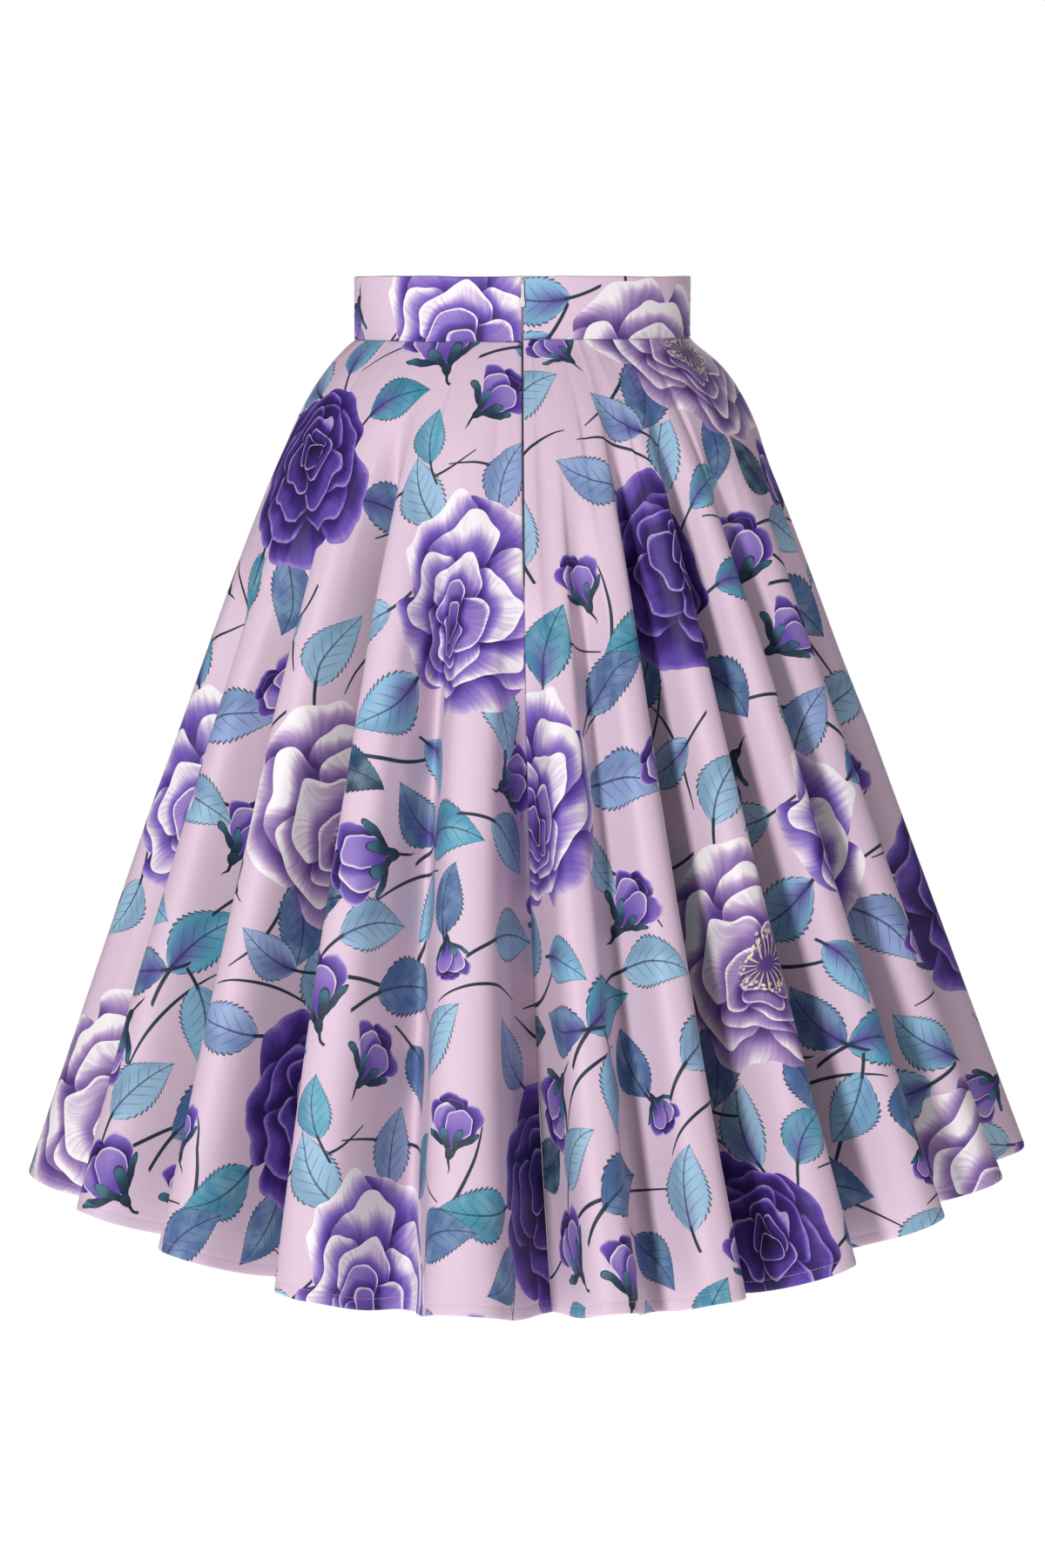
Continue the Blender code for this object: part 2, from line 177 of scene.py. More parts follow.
# %% Sizes of the skirt
WAIST_WIDTH, WAIST_DEPTH = 0.259, 0.203
BAND_HEIGHT, BAND_WALL, BAND_PROUD, BAND_STEP = 0.048, 0.0024, 0.0008, 0.0018
SKIRT_LENGTH = 0.725
FLARE_SIDE, FLARE_BACK = 0.345, 0.365
HIP_SIDE, HIP_BACK = 0.0275, 0.0325
HIP_LENGTH_SIDE, HIP_LENGTH_BACK = 0.060, 0.085
HEM_SHIFT, HEM_FOLD_DEPTH = 0.005, 0.082
VALLEY_SHARPNESS, ROUNDNESS, FOLD_RAMP = 1.25, 0.50, 0.16
# one row for each valley: angle at the waist, angle at the hem, start below the waist, share of the depth
VALLEYS = (
    (0.0, 3.0, 0.190, 0.95), (12.7, 14.5, 0.080, 0.50), (26.4, 27.0, 0.010, 1.00), (40.0, 42.0, 0.015, 1.08),
    (53.5, 57.5, 0.050, 1.00), (70.0, 73.5, 0.120, 0.85), (90.0, 92.0, 0.040, 1.00),
    (105.0, 107.0, 0.030, 1.12), (120.0, 121.5, 0.070, 1.02), (134.5, 137.0, 0.020, 1.15),
    (150.0, 151.0, 0.060, 1.05), (165.0, 166.5, 0.110, 0.95), (180.0, 181.0, 0.030, 1.15),
    (194.5, 195.5, 0.060, 1.05), (209.0, 211.0, 0.020, 1.15), (225.0, 225.5, 0.080, 1.00),
    (240.0, 240.0, 0.040, 1.10), (255.0, 256.0, 0.060, 1.05), (270.0, 270.0, 0.040, 1.00),
    (289.0, 295.5, 0.160, 0.75), (306.0, 311.5, 0.100, 0.95), (323.5, 327.0, 0.010, 1.10),
    (341.0, 344.0, 0.070, 0.72),
)
# the hem is cut shorter towards the sides: angle at the hem, shorter by
HEM_LIFTS = (
    (-180.0, 0.000), (-150.0, 0.007), (-120.0, 0.022), (-90.0, 0.030), (-55.0, 0.033), (-42.0, 0.023),
    (-33.0, 0.017), (-24.0, 0.005), (0.0, 0.000), (20.0, 0.004), (33.0, 0.013), (45.0, 0.028), (57.0, 0.039),
    (70.0, 0.043), (90.0, 0.042), (120.0, 0.026), (150.0, 0.008), (180.0, 0.000),
)
FOLDS, RIGHT_SEAM, LEFT_SEAM = len(VALLEYS), 6, 18
print(FOLDS, "flutes:", LEFT_SEAM - RIGHT_SEAM, "front,", RIGHT_SEAM, "and", FOLDS - LEFT_SEAM, "back")

# %% The bell and the folds
def valley_column(index):
    turn = (360.0, 360.0, 0.0, 0.0)[index]
    values = [row[index] for row in VALLEYS]
    return np.array(values + [values[0] + turn])


def bell_radius(angle, length):
    side_hip = HIP_SIDE * (1.0 - np.exp(-length / HIP_LENGTH_SIDE))
    back_hip = HIP_BACK * (1.0 - np.exp(-length / HIP_LENGTH_BACK))
    side = WAIST_WIDTH / 2 - BAND_PROUD + FLARE_SIDE * length + side_hip
    back = WAIST_DEPTH / 2 - BAND_PROUD + FLARE_BACK * length + back_hip
    return side * back / np.hypot(back * np.sin(angle), side * np.cos(angle))


def fold_place(phase, length):
    """Angle and depth below the crest. A whole phase number is a valley, and a half is a crest."""
    start = np.minimum(np.floor(phase).astype(int), FOLDS - 1)
    part = phase - start
    waist, hem, begin, share = (valley_column(index) for index in range(4))
    drop = length / SKIRT_LENGTH
    from_angle, to_angle = (
        waist[valley] + (hem[valley] - waist[valley]) * drop * drop for valley in (start, start + 1)
    )
    across = part + ROUNDNESS * np.sin(4.0 * math.pi * part) / (4.0 * math.pi)
    angle = np.radians(from_angle + (to_angle - from_angle) * across)
    nearest = np.where(part < 0.5, start, start + 1)
    ramp = np.clip((length - begin[nearest]) / FOLD_RAMP, 0.0, 1.0)
    ramp = ramp * ramp * (3.0 - 2.0 * ramp)
    dip = (0.5 + 0.5 * np.cos(2.0 * math.pi * part)) ** VALLEY_SHARPNESS
    return angle, HEM_FOLD_DEPTH * share[nearest] * drop * ramp * dip


def seam_height(phase):
    across_front = np.clip((np.asarray(phase) - RIGHT_SEAM) / (LEFT_SEAM - RIGHT_SEAM), 0.0, 1.0)
    return -BAND_HEIGHT / 2 + BAND_STEP * (1.0 - across_front)


print("crest radius at the hem:", round(float(bell_radius(0.0, SKIRT_LENGTH)), 3), "back,",
      round(float(bell_radius(math.pi / 2, SKIRT_LENGTH)), 3), "side")

# %% [markdown]
# Real cloth has smaller creases between the main folds: it puckers where it is eased into the waistband, and
# soft troughs run part of the way down a flute. Each one is a row in a table, with its own place, width,
# depth and lean, and no two are alike. They are pushed in or out after the cloth is hung, because they are
# only a few millimetres deep.
#
# The bottom of a real fold is narrow too: the cloth of two flutes almost meets there, and little light gets
# in. A smooth wave has no such place, so every valley is pinched a little deeper along its lowest line.

# %% Soft creases
CREASE_FADE = 0.30  # at each end, as share of a crease's length
# phase, from length, to length, half width in phase, depth in metres (below zero is a ridge), lean in phase
CREASES = (
    (0.42, 0.04, 0.36, 0.14, 0.0022, 0.06), (0.86, 0.08, 0.60, 0.12, 0.0020, -0.05),
    (1.35, 0.03, 0.24, 0.12, 0.0016, 0.03), (1.62, 0.20, 0.74, 0.10, 0.0040, 0.06),
    (2.38, 0.02, 0.30, 0.08, 0.0026, -0.04), (2.70, 0.22, 0.74, 0.09, 0.0046, 0.05),
    (3.30, 0.30, 0.74, 0.08, 0.0040, -0.03), (3.62, 0.00, 0.26, 0.10, 0.0028, 0.06),
    (4.36, 0.08, 0.50, 0.10, 0.0042, 0.04), (4.74, 0.34, 0.74, 0.08, 0.0044, -0.05),
    (5.45, 0.03, 0.34, 0.10, 0.0036, 0.05), (5.30, 0.40, 0.74, 0.09, 0.0048, 0.02),
    (6.00, 0.00, 0.12, 0.40, -0.0050, 0.00), (6.55, 0.12, 0.58, 0.09, 0.0040, -0.04),
    (7.40, 0.05, 0.42, 0.10, 0.0034, 0.05), (7.62, 0.40, 0.74, 0.08, 0.0046, 0.02),
    (8.50, 0.18, 0.66, 0.10, 0.0042, -0.05), (9.36, 0.02, 0.36, 0.09, 0.0030, 0.04),
    (9.66, 0.36, 0.74, 0.09, 0.0046, -0.03), (10.52, 0.10, 0.56, 0.10, 0.0038, 0.05),
    (11.40, 0.26, 0.74, 0.08, 0.0046, 0.03), (11.62, 0.00, 0.24, 0.10, 0.0026, -0.05),
    (12.55, 0.12, 0.62, 0.10, 0.0042, 0.04), (13.38, 0.00, 0.30, 0.09, 0.0030, 0.05),
    (13.60, 0.34, 0.74, 0.08, 0.0048, -0.02), (14.48, 0.16, 0.60, 0.10, 0.0040, 0.05),
    (15.40, 0.04, 0.40, 0.10, 0.0034, -0.04), (15.64, 0.38, 0.74, 0.09, 0.0044, 0.03),
    (16.50, 0.10, 0.54, 0.09, 0.0038, 0.05), (17.42, 0.28, 0.74, 0.10, 0.0048, -0.04),
    (18.36, 0.02, 0.40, 0.08, 0.0036, 0.05), (18.64, 0.30, 0.74, 0.08, 0.0050, -0.03),
    (19.32, 0.12, 0.52, 0.08, 0.0042, 0.05), (19.66, 0.00, 0.30, 0.09, 0.0030, -0.06),
    (20.36, 0.28, 0.74, 0.08, 0.0046, 0.04), (20.66, 0.03, 0.36, 0.08, 0.0032, 0.03),
    (21.34, 0.20, 0.74, 0.08, 0.0044, -0.05), (21.60, 0.00, 0.22, 0.10, 0.0026, 0.05),
    (22.28, 0.05, 0.62, 0.09, 0.0034, 0.05), (22.62, 0.00, 0.28, 0.08, 0.0026, -0.04),
)


def crease_depth(phase, length):
    depth = np.zeros(np.broadcast(phase, length).shape)
    for middle, start, end, width, deep, lean in CREASES:
        along = (length - start) / (end - start)
        off = phase - middle - lean * along
        off = (off + FOLDS / 2) % FOLDS - FOLDS / 2
        fade = np.clip(np.minimum(along, 1.0 - along) / CREASE_FADE, 0.0, 1.0)
        depth += deep * fade * fade * (3.0 - 2.0 * fade) * np.exp(-((off / width) ** 2))
    return depth


print(len(CREASES), "soft creases")

# %% Pinches and puckers
# the sharp bottom of each valley: its depth in metres along the drop, and its half width in phase
PINCH_DEPTHS = ((0.0, 0.004), (0.22, 0.010), (0.5, 0.016), (0.85, 0.018), (0.97, 0.011), (1.0, 0.009))
PINCH_WIDTH = 0.095
# valley number, share of the pinch depth: the front hangs smoother, the left back has the deepest folds
PINCH_SHARES = ((0, 1.1), (6, 1.1), (7, 0.2), (17, 0.2), (18, 1.4), (19, 2.0), (22, 1.9), (23, 1.1))
PUCKER_MIDDLE, PUCKER_REACH, PUCKER_DEPTH = 0.012, 0.050, 0.0004  # the first two below the waist seam


def pinch_depth(phase, length):
    """The last, narrow part of a fold, where the cloth of two flutes almost meets."""
    nearest = np.round(phase).astype(int)
    begin, share = valley_column(2)[nearest], valley_column(3)[nearest]
    ramp = np.clip((length - begin) / FOLD_RAMP, 0.0, 1.0)
    depth = np.interp(length / SKIRT_LENGTH, *zip(*PINCH_DEPTHS))
    share = share * np.interp(nearest, *zip(*PINCH_SHARES))
    return depth * share * ramp * ramp * np.exp(-(((phase - nearest) / PINCH_WIDTH) ** 2))


def pucker_depth(phase, length):
    """Fine, uneven ease just below the waistband."""
    wave = np.sin(phase * 14.1 + 1.3 * np.sin(phase * 2.9)) * np.sin(phase * 3.7 + 0.8)
    return PUCKER_DEPTH * wave * np.exp(-(((length - PUCKER_MIDDLE) / PUCKER_REACH) ** 2))


print("0.6 m down, a valley on the front is pinched by", f"{1000 * pinch_depth(np.array(11.0), 0.6):.1f} mm")

# %% [markdown]
# Each thread that runs down the cloth keeps its length, however deep the fold it lies in. So every column of
# points is hung step by step: from the waist down, a step that travels far sideways falls less. Valleys
# therefore hang a little lower than crests, as they do on a real skirt.

# %% Hanging the cloth
FALL_STEPS = 192


def hem_length(phases):
    end_angle = fold_place(phases, np.full(len(phases), SKIRT_LENGTH))[0]
    turn = np.mod(np.degrees(end_angle) + 180.0, 360.0) - 180.0
    return SKIRT_LENGTH - np.interp(turn, [row[0] for row in HEM_LIFTS], [row[1] for row in HEM_LIFTS])


def drape(phases, shares, seam_gap=0.0002):
    """Outer face of the cloth as points, shares x phases x 3."""
    phases = np.asarray(phases, float)
    length = np.linspace(0.0, 1.0, FALL_STEPS + 1)[:, None] * hem_length(phases)[None, :]
    spread = np.broadcast_to(phases, length.shape)
    angle, depth = fold_place(spread, length)
    radius = bell_radius(angle, length) - depth
    shift = HEM_SHIFT * (length / SKIRT_LENGTH) ** 2
    run = np.hypot(np.diff(radius * np.sin(angle) + shift, axis=0), np.diff(radius * np.cos(angle), axis=0))
    fall = np.sqrt(np.maximum(np.diff(length, axis=0) ** 2 - run**2, 0.0))
    z = -BAND_HEIGHT / 2 - seam_gap - np.vstack([np.zeros(len(phases)), np.cumsum(fall, axis=0)])
    z[0] = seam_height(phases) - seam_gap
    for depth in (crease_depth, pucker_depth, pinch_depth):
        radius = radius - depth(spread, length)
    points = np.stack([radius * np.sin(angle) + shift, -radius * np.cos(angle), z], axis=2)
    place = np.clip(np.asarray(shares, float), 0.0, 1.0) * FALL_STEPS
    low = np.minimum(place.astype(int), FALL_STEPS - 1)
    part = (place - low)[:, None, None]
    return points[low] * (1.0 - part) + points[low + 1] * part


test = drape(np.array([0.0, 0.5, 2.0, 2.5]), [0.0, 1.0])
print("hem height at two valleys and two crests:", np.round(test[1, :, 2], 3))

# %% [markdown]
# ## A cloth shell from a grid
#
# Every piece of cloth here is a grid of points: rows run down and columns run round. A second grid lies a
# cloth's thickness inside the first, and strips of faces close the edges, so each piece is a thin closed
# shell. Solidify would do the same, but then both faces would share one UV map, and the paler reverse of the
# cloth needs its own.

# %% Grids and faces
def unit(vectors):
    return vectors / np.maximum(np.linalg.norm(vectors, axis=-1, keepdims=True), 1e-12)


def outward(grid):
    """Unit normals of a grid whose rows run down and whose columns run anticlockwise seen from above."""
    return unit(np.cross(np.gradient(grid, axis=0), np.gradient(grid, axis=1)))


def run_along(points, axis):
    """The way from the first point to each one, along an axis of a grid."""
    steps = np.linalg.norm(np.diff(points, axis=axis), axis=-1)
    start = np.zeros_like(steps.take([0], axis=axis))
    return np.concatenate([start, np.cumsum(steps, axis=axis)], axis=axis)


def strip_faces(first, second):
    """Four-cornered faces between two lines of point numbers."""
    corners = first[..., :-1], second[..., :-1], second[..., 1:], first[..., 1:]
    return np.stack(corners, axis=-1).reshape(-1, 4)


def mesh_from(name, points, quads):
    mesh = bpy.data.meshes.new(name)
    mesh.vertices.add(len(points))
    mesh.vertices.foreach_set("co", np.asarray(points, np.float32).reshape(-1))
    mesh.loops.add(quads.size)
    mesh.loops.foreach_set("vertex_index", np.asarray(quads, np.int32).reshape(-1))
    mesh.polygons.add(len(quads))
    mesh.polygons.foreach_set("loop_start", np.arange(len(quads), dtype=np.int32) * quads.shape[1])
    mesh.update(calc_edges=True)
    mesh.validate()
    mesh.shade_smooth()
    return mesh


print("two lines of four points make", len(strip_faces(np.arange(4), np.arange(4, 8))), "faces")

# %% Places in the baked map
BAKE_GAP = 0.004  # between two strips of the map


def bake_places(rows, columns, splits, low, high):
    """UVs that stack a wide panel in `splits` strips between two heights of the map, with a small gap."""
    column = np.linspace(0.0, splits, columns)
    strip = np.minimum(column.astype(int), splits - 1)
    u = BAKE_GAP + (1.0 - 2 * BAKE_GAP) * (column - strip)
    tall = (high - low) / splits
    share = 1.0 - np.linspace(0.0, 1.0, rows)[:, None]
    v = low + strip[None, :] * tall + BAKE_GAP + (tall - 2 * BAKE_GAP) * share
    return np.stack([np.broadcast_to(u[None, :], (rows, columns)), v], axis=2)


print("the map's lowest corner is at", bake_places(2, 2, 1, 0.0, 1.0)[-1, 0])

# %% Shell maker
SATEEN_WALL = 0.0007


def cloth_shell(name, outer, inner, cut, splits=2, meeting=(0.30, 0.29)):
    """A closed shell between two grids. cut is the place in the flat cloth, meeting splits the baked map."""
    size = outer.shape[:2]
    index = np.arange(size[0] * size[1]).reshape(size)
    back = index + index.size
    edges = (
        (index[0], back[0], -1), (index[-1], back[-1], 1), (index[:, 0], back[:, 0], 1),
        (index[:, -1], back[:, -1], -1),
    )
    faces = [strip_faces(index[:-1], index[1:]), strip_faces(back[:-1], back[1:])[:, ::-1]]
    faces += [strip_faces(front, rear)[:, ::turn] for front, rear, turn in edges]
    points = np.concatenate([outer.reshape(-1, 3), inner.reshape(-1, 3)])
    mesh = mesh_from(name, points, np.concatenate(faces))
    order = np.empty(len(mesh.loops), np.int32)
    mesh.loops.foreach_get("vertex_index", order)
    baked = bake_places(*size, splits, meeting[0], 1.0), bake_places(*size, 1, 0.0, meeting[1])
    for label, pair in (("CutPlan", (cut, cut)), ("OFBake", baked)):
        by_point = np.concatenate([side.reshape(-1, 2) for side in pair])
        mesh.uv_layers.new(name=label).data.foreach_set("uv", by_point.astype(np.float32)[order].reshape(-1))
    reverse = np.zeros(len(mesh.polygons), np.int32)
    reverse[len(faces[0]) : len(faces[0]) + len(faces[1])] = 1
    mesh.polygons.foreach_set("material_index", reverse)
    return add_object(name, mesh)


print("a shell of 100 x 100 points has", 4 * 99 * 99 + 8 * 99, "triangles")

# %% [markdown]
# ## The skirt panels
#
# A panel is drawn flat as part of a ring, cut from woven cloth, and the print goes with it. So every point of
# the hanging panel is given its place in that flat ring: how far it is from the waist seam, and what share of
# the panel's width it has passed. The pattern of the cloth then runs over folds and into seams just as on a
# real skirt, where it turns away from the grain towards the side seams and never meets itself at a seam.

# %% Places in the flat cut
RING_RADIUS = 0.115  # inner edge of the flat ring: the waist seam
GRAIN_TURN = math.radians(25.0)  # between the straight grain and the centre back


def flat_cut(grid, seam_angle, turn, offset):
    """Place of each point in the uncut cloth, in metres. The panel fans out from its first column."""
    across = run_along(grid, 1)
    angle = across / across[:, -1:] * seam_angle + turn
    radius = RING_RADIUS + run_along(grid, 0)
    return np.stack([radius * np.sin(angle) + offset[0], -radius * np.cos(angle) + offset[1]], axis=2)


print("flat ring:", RING_RADIUS, "to", round(RING_RADIUS + SKIRT_LENGTH, 3), "m from its middle")

# %% [markdown]
# At a seam the two edges of cloth turn inwards before they meet, which leaves a soft ditch. At the zip the
# same turned edges are its lips. A few extra columns near each edge hold that curve, and the rows near the
# hem hold the turned hem: the cloth is folded to the inside there, so the edge is round and three layers
# thick for 9 mm.

# %% Seam lips and the turned hem
SEAM_STEPS = (0.0006, 0.0013, 0.0022, 0.0034)  # distances of the extra columns from the edge
LIP_REACH, LIP_DEPTH = 0.0030, 0.0012
HEM_TURN = 0.0090
HEM_ROWS = (0.0, 0.0005, 0.0013, 0.0028, 0.0050, 0.0066, 0.0074, 0.0080, 0.0086, 0.0094, 0.0110, 0.0150)
HEM_ROUNDING = (0.00075, 0.00035, 0.00010, 0.0)  # inwards, at the first four of these rows
HEM_WALLS = (0.0004, 0.0011, 0.0015, 0.0016)  # at the first three, and just below the turned edge
TURN_EDGE = (HEM_TURN - 0.0006, HEM_TURN + 0.0004)  # between these the cloth goes from three layers to one
HEM_SHARE, ROW_SPREAD = 0.021, 1.15  # the hem's part of the length, and how the rows above it spread out
WAIST_SHARES, WAIST_CLEAR, HEM_CLEAR = (0.0, 0.0015, 0.004), 0.006, 0.001  # other rows keep this far away
STITCH_LINE, STITCH_DENT, DENT_WIDTH = 0.0080, 0.00022, 0.0007  # above the hem's edge, depth, half width


def with_seam_columns(grid):
    """Adds columns close to both edges, never more than a share of the first space between columns."""
    limits = np.linspace(0.0, 1.0, len(SEAM_STEPS) + 2)[1:-1]
    for _ in range(2):
        grid = grid[:, ::-1]
        edge, along = grid[:, 0], grid[:, 1] - grid[:, 0]
        reach = np.linalg.norm(along, axis=1, keepdims=True)
        added = [edge + along * np.minimum(step / reach, limit) for step, limit in zip(SEAM_STEPS, limits)]
        grid = np.concatenate([grid[:, :1], np.stack(added, axis=1), grid[:, 1:]], axis=1)
    return grid


def lip(distance):
    return LIP_DEPTH * (1.0 - np.clip(distance / LIP_REACH, 0.0, 1.0)) ** 2


def opened(grid, rooms):
    """The grid with both edges moved in by the room left at their seams, and the distances from the edges."""
    along = run_along(grid, 1)
    distances = along, along[:, -1:] - along
    across = unit(np.gradient(grid, axis=1))
    for distance, room, sign in zip(distances, rooms, (1.0, -1.0)):
        ease = np.clip(1.0 - distance / LIP_REACH, 0.0, 1.0) * np.reshape(room, (-1, 1))
        grid = grid + sign * across * ease[:, :, None]
    return grid, *distances


def shared_at_seams(grid, normal, distance):
    """Normals that turn to the skirt's own radius near a seam, so that two panels turn the same way there."""
    share = np.clip(1.0 - distance / (2 * LIP_REACH), 0.0, 1.0)[:, :, None]
    return unit(normal * (1.0 - share) + unit(grid * (1.0, 1.0, 0.0)) * share)


def row_shares(count):
    """Rows from waist to hem: closer together near the waist, and listed one by one in the turned hem."""
    shares = np.linspace(0.0, 1.0, count) ** ROW_SPREAD * (1.0 - HEM_SHARE)
    fine = 1.0 - np.array(HEM_ROWS)[::-1] / SKIRT_LENGTH
    return np.concatenate([WAIST_SHARES, shares[shares > WAIST_CLEAR], fine[fine > shares[-1] + HEM_CLEAR]])


def hem_shapes(shares):
    """How far each row goes inwards on the outer face, and how thick the cloth is there."""
    above = (1.0 - shares) * SKIRT_LENGTH
    rounding = np.interp(above, HEM_ROWS[:4], HEM_ROUNDING)
    dent = STITCH_DENT * np.exp(-(((above - STITCH_LINE) / DENT_WIDTH) ** 2))
    return rounding + dent, np.interp(above, (*HEM_ROWS[:3], *TURN_EDGE), (*HEM_WALLS, SATEEN_WALL))


print("rows in a panel:", len(row_shares(96)))

# %% Panel maker
ZIP_END, ZIP_CLOSES = 0.28, 0.01  # of the skirt's length
ZIP_LIP, SEAM_LIP = 0.00075, 0.00008
seam_room = ((0.0, 1.0), (SEAM_LIP, SEAM_LIP))
zip_room = ((0.0, ZIP_END - ZIP_CLOSES, ZIP_END + ZIP_CLOSES, 1.0), (ZIP_LIP, ZIP_LIP, SEAM_LIP, SEAM_LIP))
hem_lines = {}  # where the hem's stitches go, by panel


def make_panel(name, first, last, columns_per_fold, rows, rooms, cut_plan, splits):
    """One skirt panel between two valleys. rooms are half the space left at its two seams, along the drop."""
    shares = row_shares(rows)
    hung = with_seam_columns(drape(np.linspace(first, last, (last - first) * columns_per_fold + 1), shares))
    grid, from_first, from_last = opened(hung, [np.interp(shares, *room) for room in rooms])
    normal = shared_at_seams(grid, outward(hung), np.minimum(from_first, from_last))
    rounding, wall = hem_shapes(shares)
    outer = grid - normal * (rounding[:, None] + lip(from_first) + lip(from_last))[:, :, None]
    stitch_row = int(np.argmin(np.abs((1.0 - shares) * SKIRT_LENGTH - STITCH_LINE)))
    hem_lines[name] = outer[stitch_row], normal[stitch_row]
    return cloth_shell(name, outer, outer - normal * wall[:, None, None], flat_cut(grid, *cut_plan), splits)


half, quarter = math.pi, math.pi / 2
front = make_panel(
    "front_panel", RIGHT_SEAM, LEFT_SEAM, 34, 88, (seam_room, seam_room), (half, -quarter, (0.15, 0.31)), 2
)
back_right = make_panel(
    "back_right_panel", 0, RIGHT_SEAM, 44, 112, (zip_room, seam_room), (quarter, -GRAIN_TURN, (0.06, 0.17)), 1
)
back_left = make_panel(
    "back_left_panel", LEFT_SEAM, FOLDS, 50, 112, (seam_room, zip_room),
    (quarter, -quarter + GRAIN_TURN, (0.24, 0.05)), 1,
)
for panel in (front, back_right, back_left):
    print(panel.name, len(panel.data.polygons) * 2, "triangles")

# %% [markdown]
# ## The waistband
#
# The band is a straight strip, folded along its top edge round a stiff interfacing, in three lengths that
# meet the panels' seams. It stands a little proud of the skirt, and its lower edge is rounded, so a thin line
# of shadow marks the waist seam. Interfacing never lies dead flat: the band is given a very slight buckle.

# %% Waistband
BAND_COLUMNS, BAND_ROWS, BAND_FLAT = 9, 12, (0.08, 0.92)  # columns in each fold, rows between the edges
BUCKLE = 0.00035
BAND_EDGE = ((0.0, 0.0009), (0.00022, 0.00042), (0.0007, 0.00012), (0.0016, 0.0))  # below the edge, inwards
LOWER_EDGE, BAND_TURN = 0.8, (0.55, 0.3)  # share of the rounding below, and of the lips outside and inside


def band_points(phases, heights):
    """The band's outer face. A height of 0 is its top edge, and 1 is the waist seam."""
    angle = fold_place(phases, np.zeros(len(phases)))[0]
    side, back = WAIST_WIDTH / 2, WAIST_DEPTH / 2
    radius = side * back / np.hypot(back * np.sin(angle), side * np.cos(angle))
    heights = np.asarray(heights)[:, None]
    wave = BUCKLE * np.sin(angle * 9.0 + heights * 60.0) * np.sin(angle * 4.0 + 1.0 - heights * 25.0)
    reach = radius + wave - BUCKLE
    z = BAND_HEIGHT / 2 - heights * (BAND_HEIGHT / 2 - seam_height(phases))
    return np.stack([reach * np.sin(angle), -reach * np.cos(angle), z], axis=2)


def make_band(name, first, last, rooms, offset):
    edge = [(below / BAND_HEIGHT, deep) for below, deep in BAND_EDGE]
    rows = edge + [(height, 0.0) for height in np.linspace(*BAND_FLAT, BAND_ROWS)]
    heights, deep = np.array(rows + [(1.0 - height, deep * LOWER_EDGE) for height, deep in reversed(edge)]).T
    phases = np.linspace(first, last, (last - first) * BAND_COLUMNS + 1)
    flat = with_seam_columns(band_points(phases, heights))
    grid, from_first, from_last = opened(flat, rooms)
    turned, normal = lip(from_first) + lip(from_last), outward(flat)
    outer = grid - normal * (deep[:, None] + BAND_TURN[0] * turned)[:, :, None]
    inner = grid - normal * (BAND_WALL - deep[:, None] - BAND_TURN[0] * BAND_TURN[1] * turned)[:, :, None]
    drop = np.broadcast_to(BAND_HEIGHT * (1.0 - heights[:, None]), from_first.shape)
    return cloth_shell(name, outer, inner, np.stack([from_first + offset[0], drop + offset[1]], axis=2))


band_front = make_band("waistband_front_cloth", RIGHT_SEAM, LEFT_SEAM, (SEAM_LIP, SEAM_LIP), (0.05, 0.12))
band_right = make_band("waistband_back_right_cloth", 0, RIGHT_SEAM, (ZIP_LIP, SEAM_LIP), (0.035, 0.118))
band_left = make_band("waistband_back_left_cloth", LEFT_SEAM, FOLDS, (SEAM_LIP, ZIP_LIP), (0.183, 0.225))
for band in (band_front, band_right, band_left):
    print(band.name, len(band.data.polygons) * 2, "triangles")

# %% [markdown]
# ## Small things in rows
#
# The hem's stitches and the zip's teeth are many copies of one small rod with rounded ends. A separate object
# for each would be slow, and so they are joined in one mesh: the rod's points are worked out once and laid
# out along a line with array sums.

# %% Rows of small rods
# along, radius
ROD_RINGS = ((-1.0, 0.30), (-0.86, 0.80), (-0.60, 1.0), (0.60, 1.0), (0.86, 0.80), (1.0, 0.30))
ROD_SIDES = 6


def rod_rows(name, middles, along, up, half_length, radius, arch):
    """Rods at the middles. along and up are unit directions, and arch lifts a rod's middle along up."""
    out = np.cross(along, up)
    points = [
        middles + along * (place * half_length) + up * (arch * (1.0 - place * place))
        + (up * math.cos(angle) + out * math.sin(angle)) * (width * radius)
        for place, width in ROD_RINGS for angle in np.linspace(0.0, 2.0 * math.pi, ROD_SIDES, endpoint=False)
    ]
    sides = np.arange(len(points)).reshape(-1, ROD_SIDES)
    round_trip = np.concatenate([sides, sides[:, :1]], axis=1)
    caps = [line[list(order)][None] for line, order in zip(
        (sides[0], sides[0], sides[-1], sides[-1]), ((0, 3, 2, 1), (0, 5, 4, 3), (0, 1, 2, 3), (0, 3, 4, 5)))]
    quads = np.concatenate([strip_faces(round_trip[:-1], round_trip[1:])[:, ::-1], *caps])
    every = quads[None] + (np.arange(len(middles)) * len(points))[:, None, None]
    return add_object(name, mesh_from(name, np.stack(points, axis=1).reshape(-1, 3), every.reshape(-1, 4)))


print("a rod has", ROD_SIDES * len(ROD_RINGS), "points")

# %% Places along a line
def along_line(points, spacing, margin):
    """Places at equal steps along a line of points, as share of index, and the line's length."""
    steps = run_along(points, 0)
    places = np.arange(margin, steps[-1] - margin, spacing)
    return np.interp(places, steps, np.arange(len(points))), steps[-1]


def read_line(values, places):
    low = np.minimum(places.astype(int), len(values) - 2)
    part = (places - low)[:, None]
    return values[low] * (1.0 - part) + values[low + 1] * part


def ahead_on(points, places, step):
    return unit(read_line(points, places + step) - read_line(points, places - step))


line = np.array([(0.0, 0.0, 0.0), (1.0, 0.0, 0.0)])
print("a line of 1 m holds", len(along_line(line, 0.1, 0.02)[0]), "places 0.1 m apart")

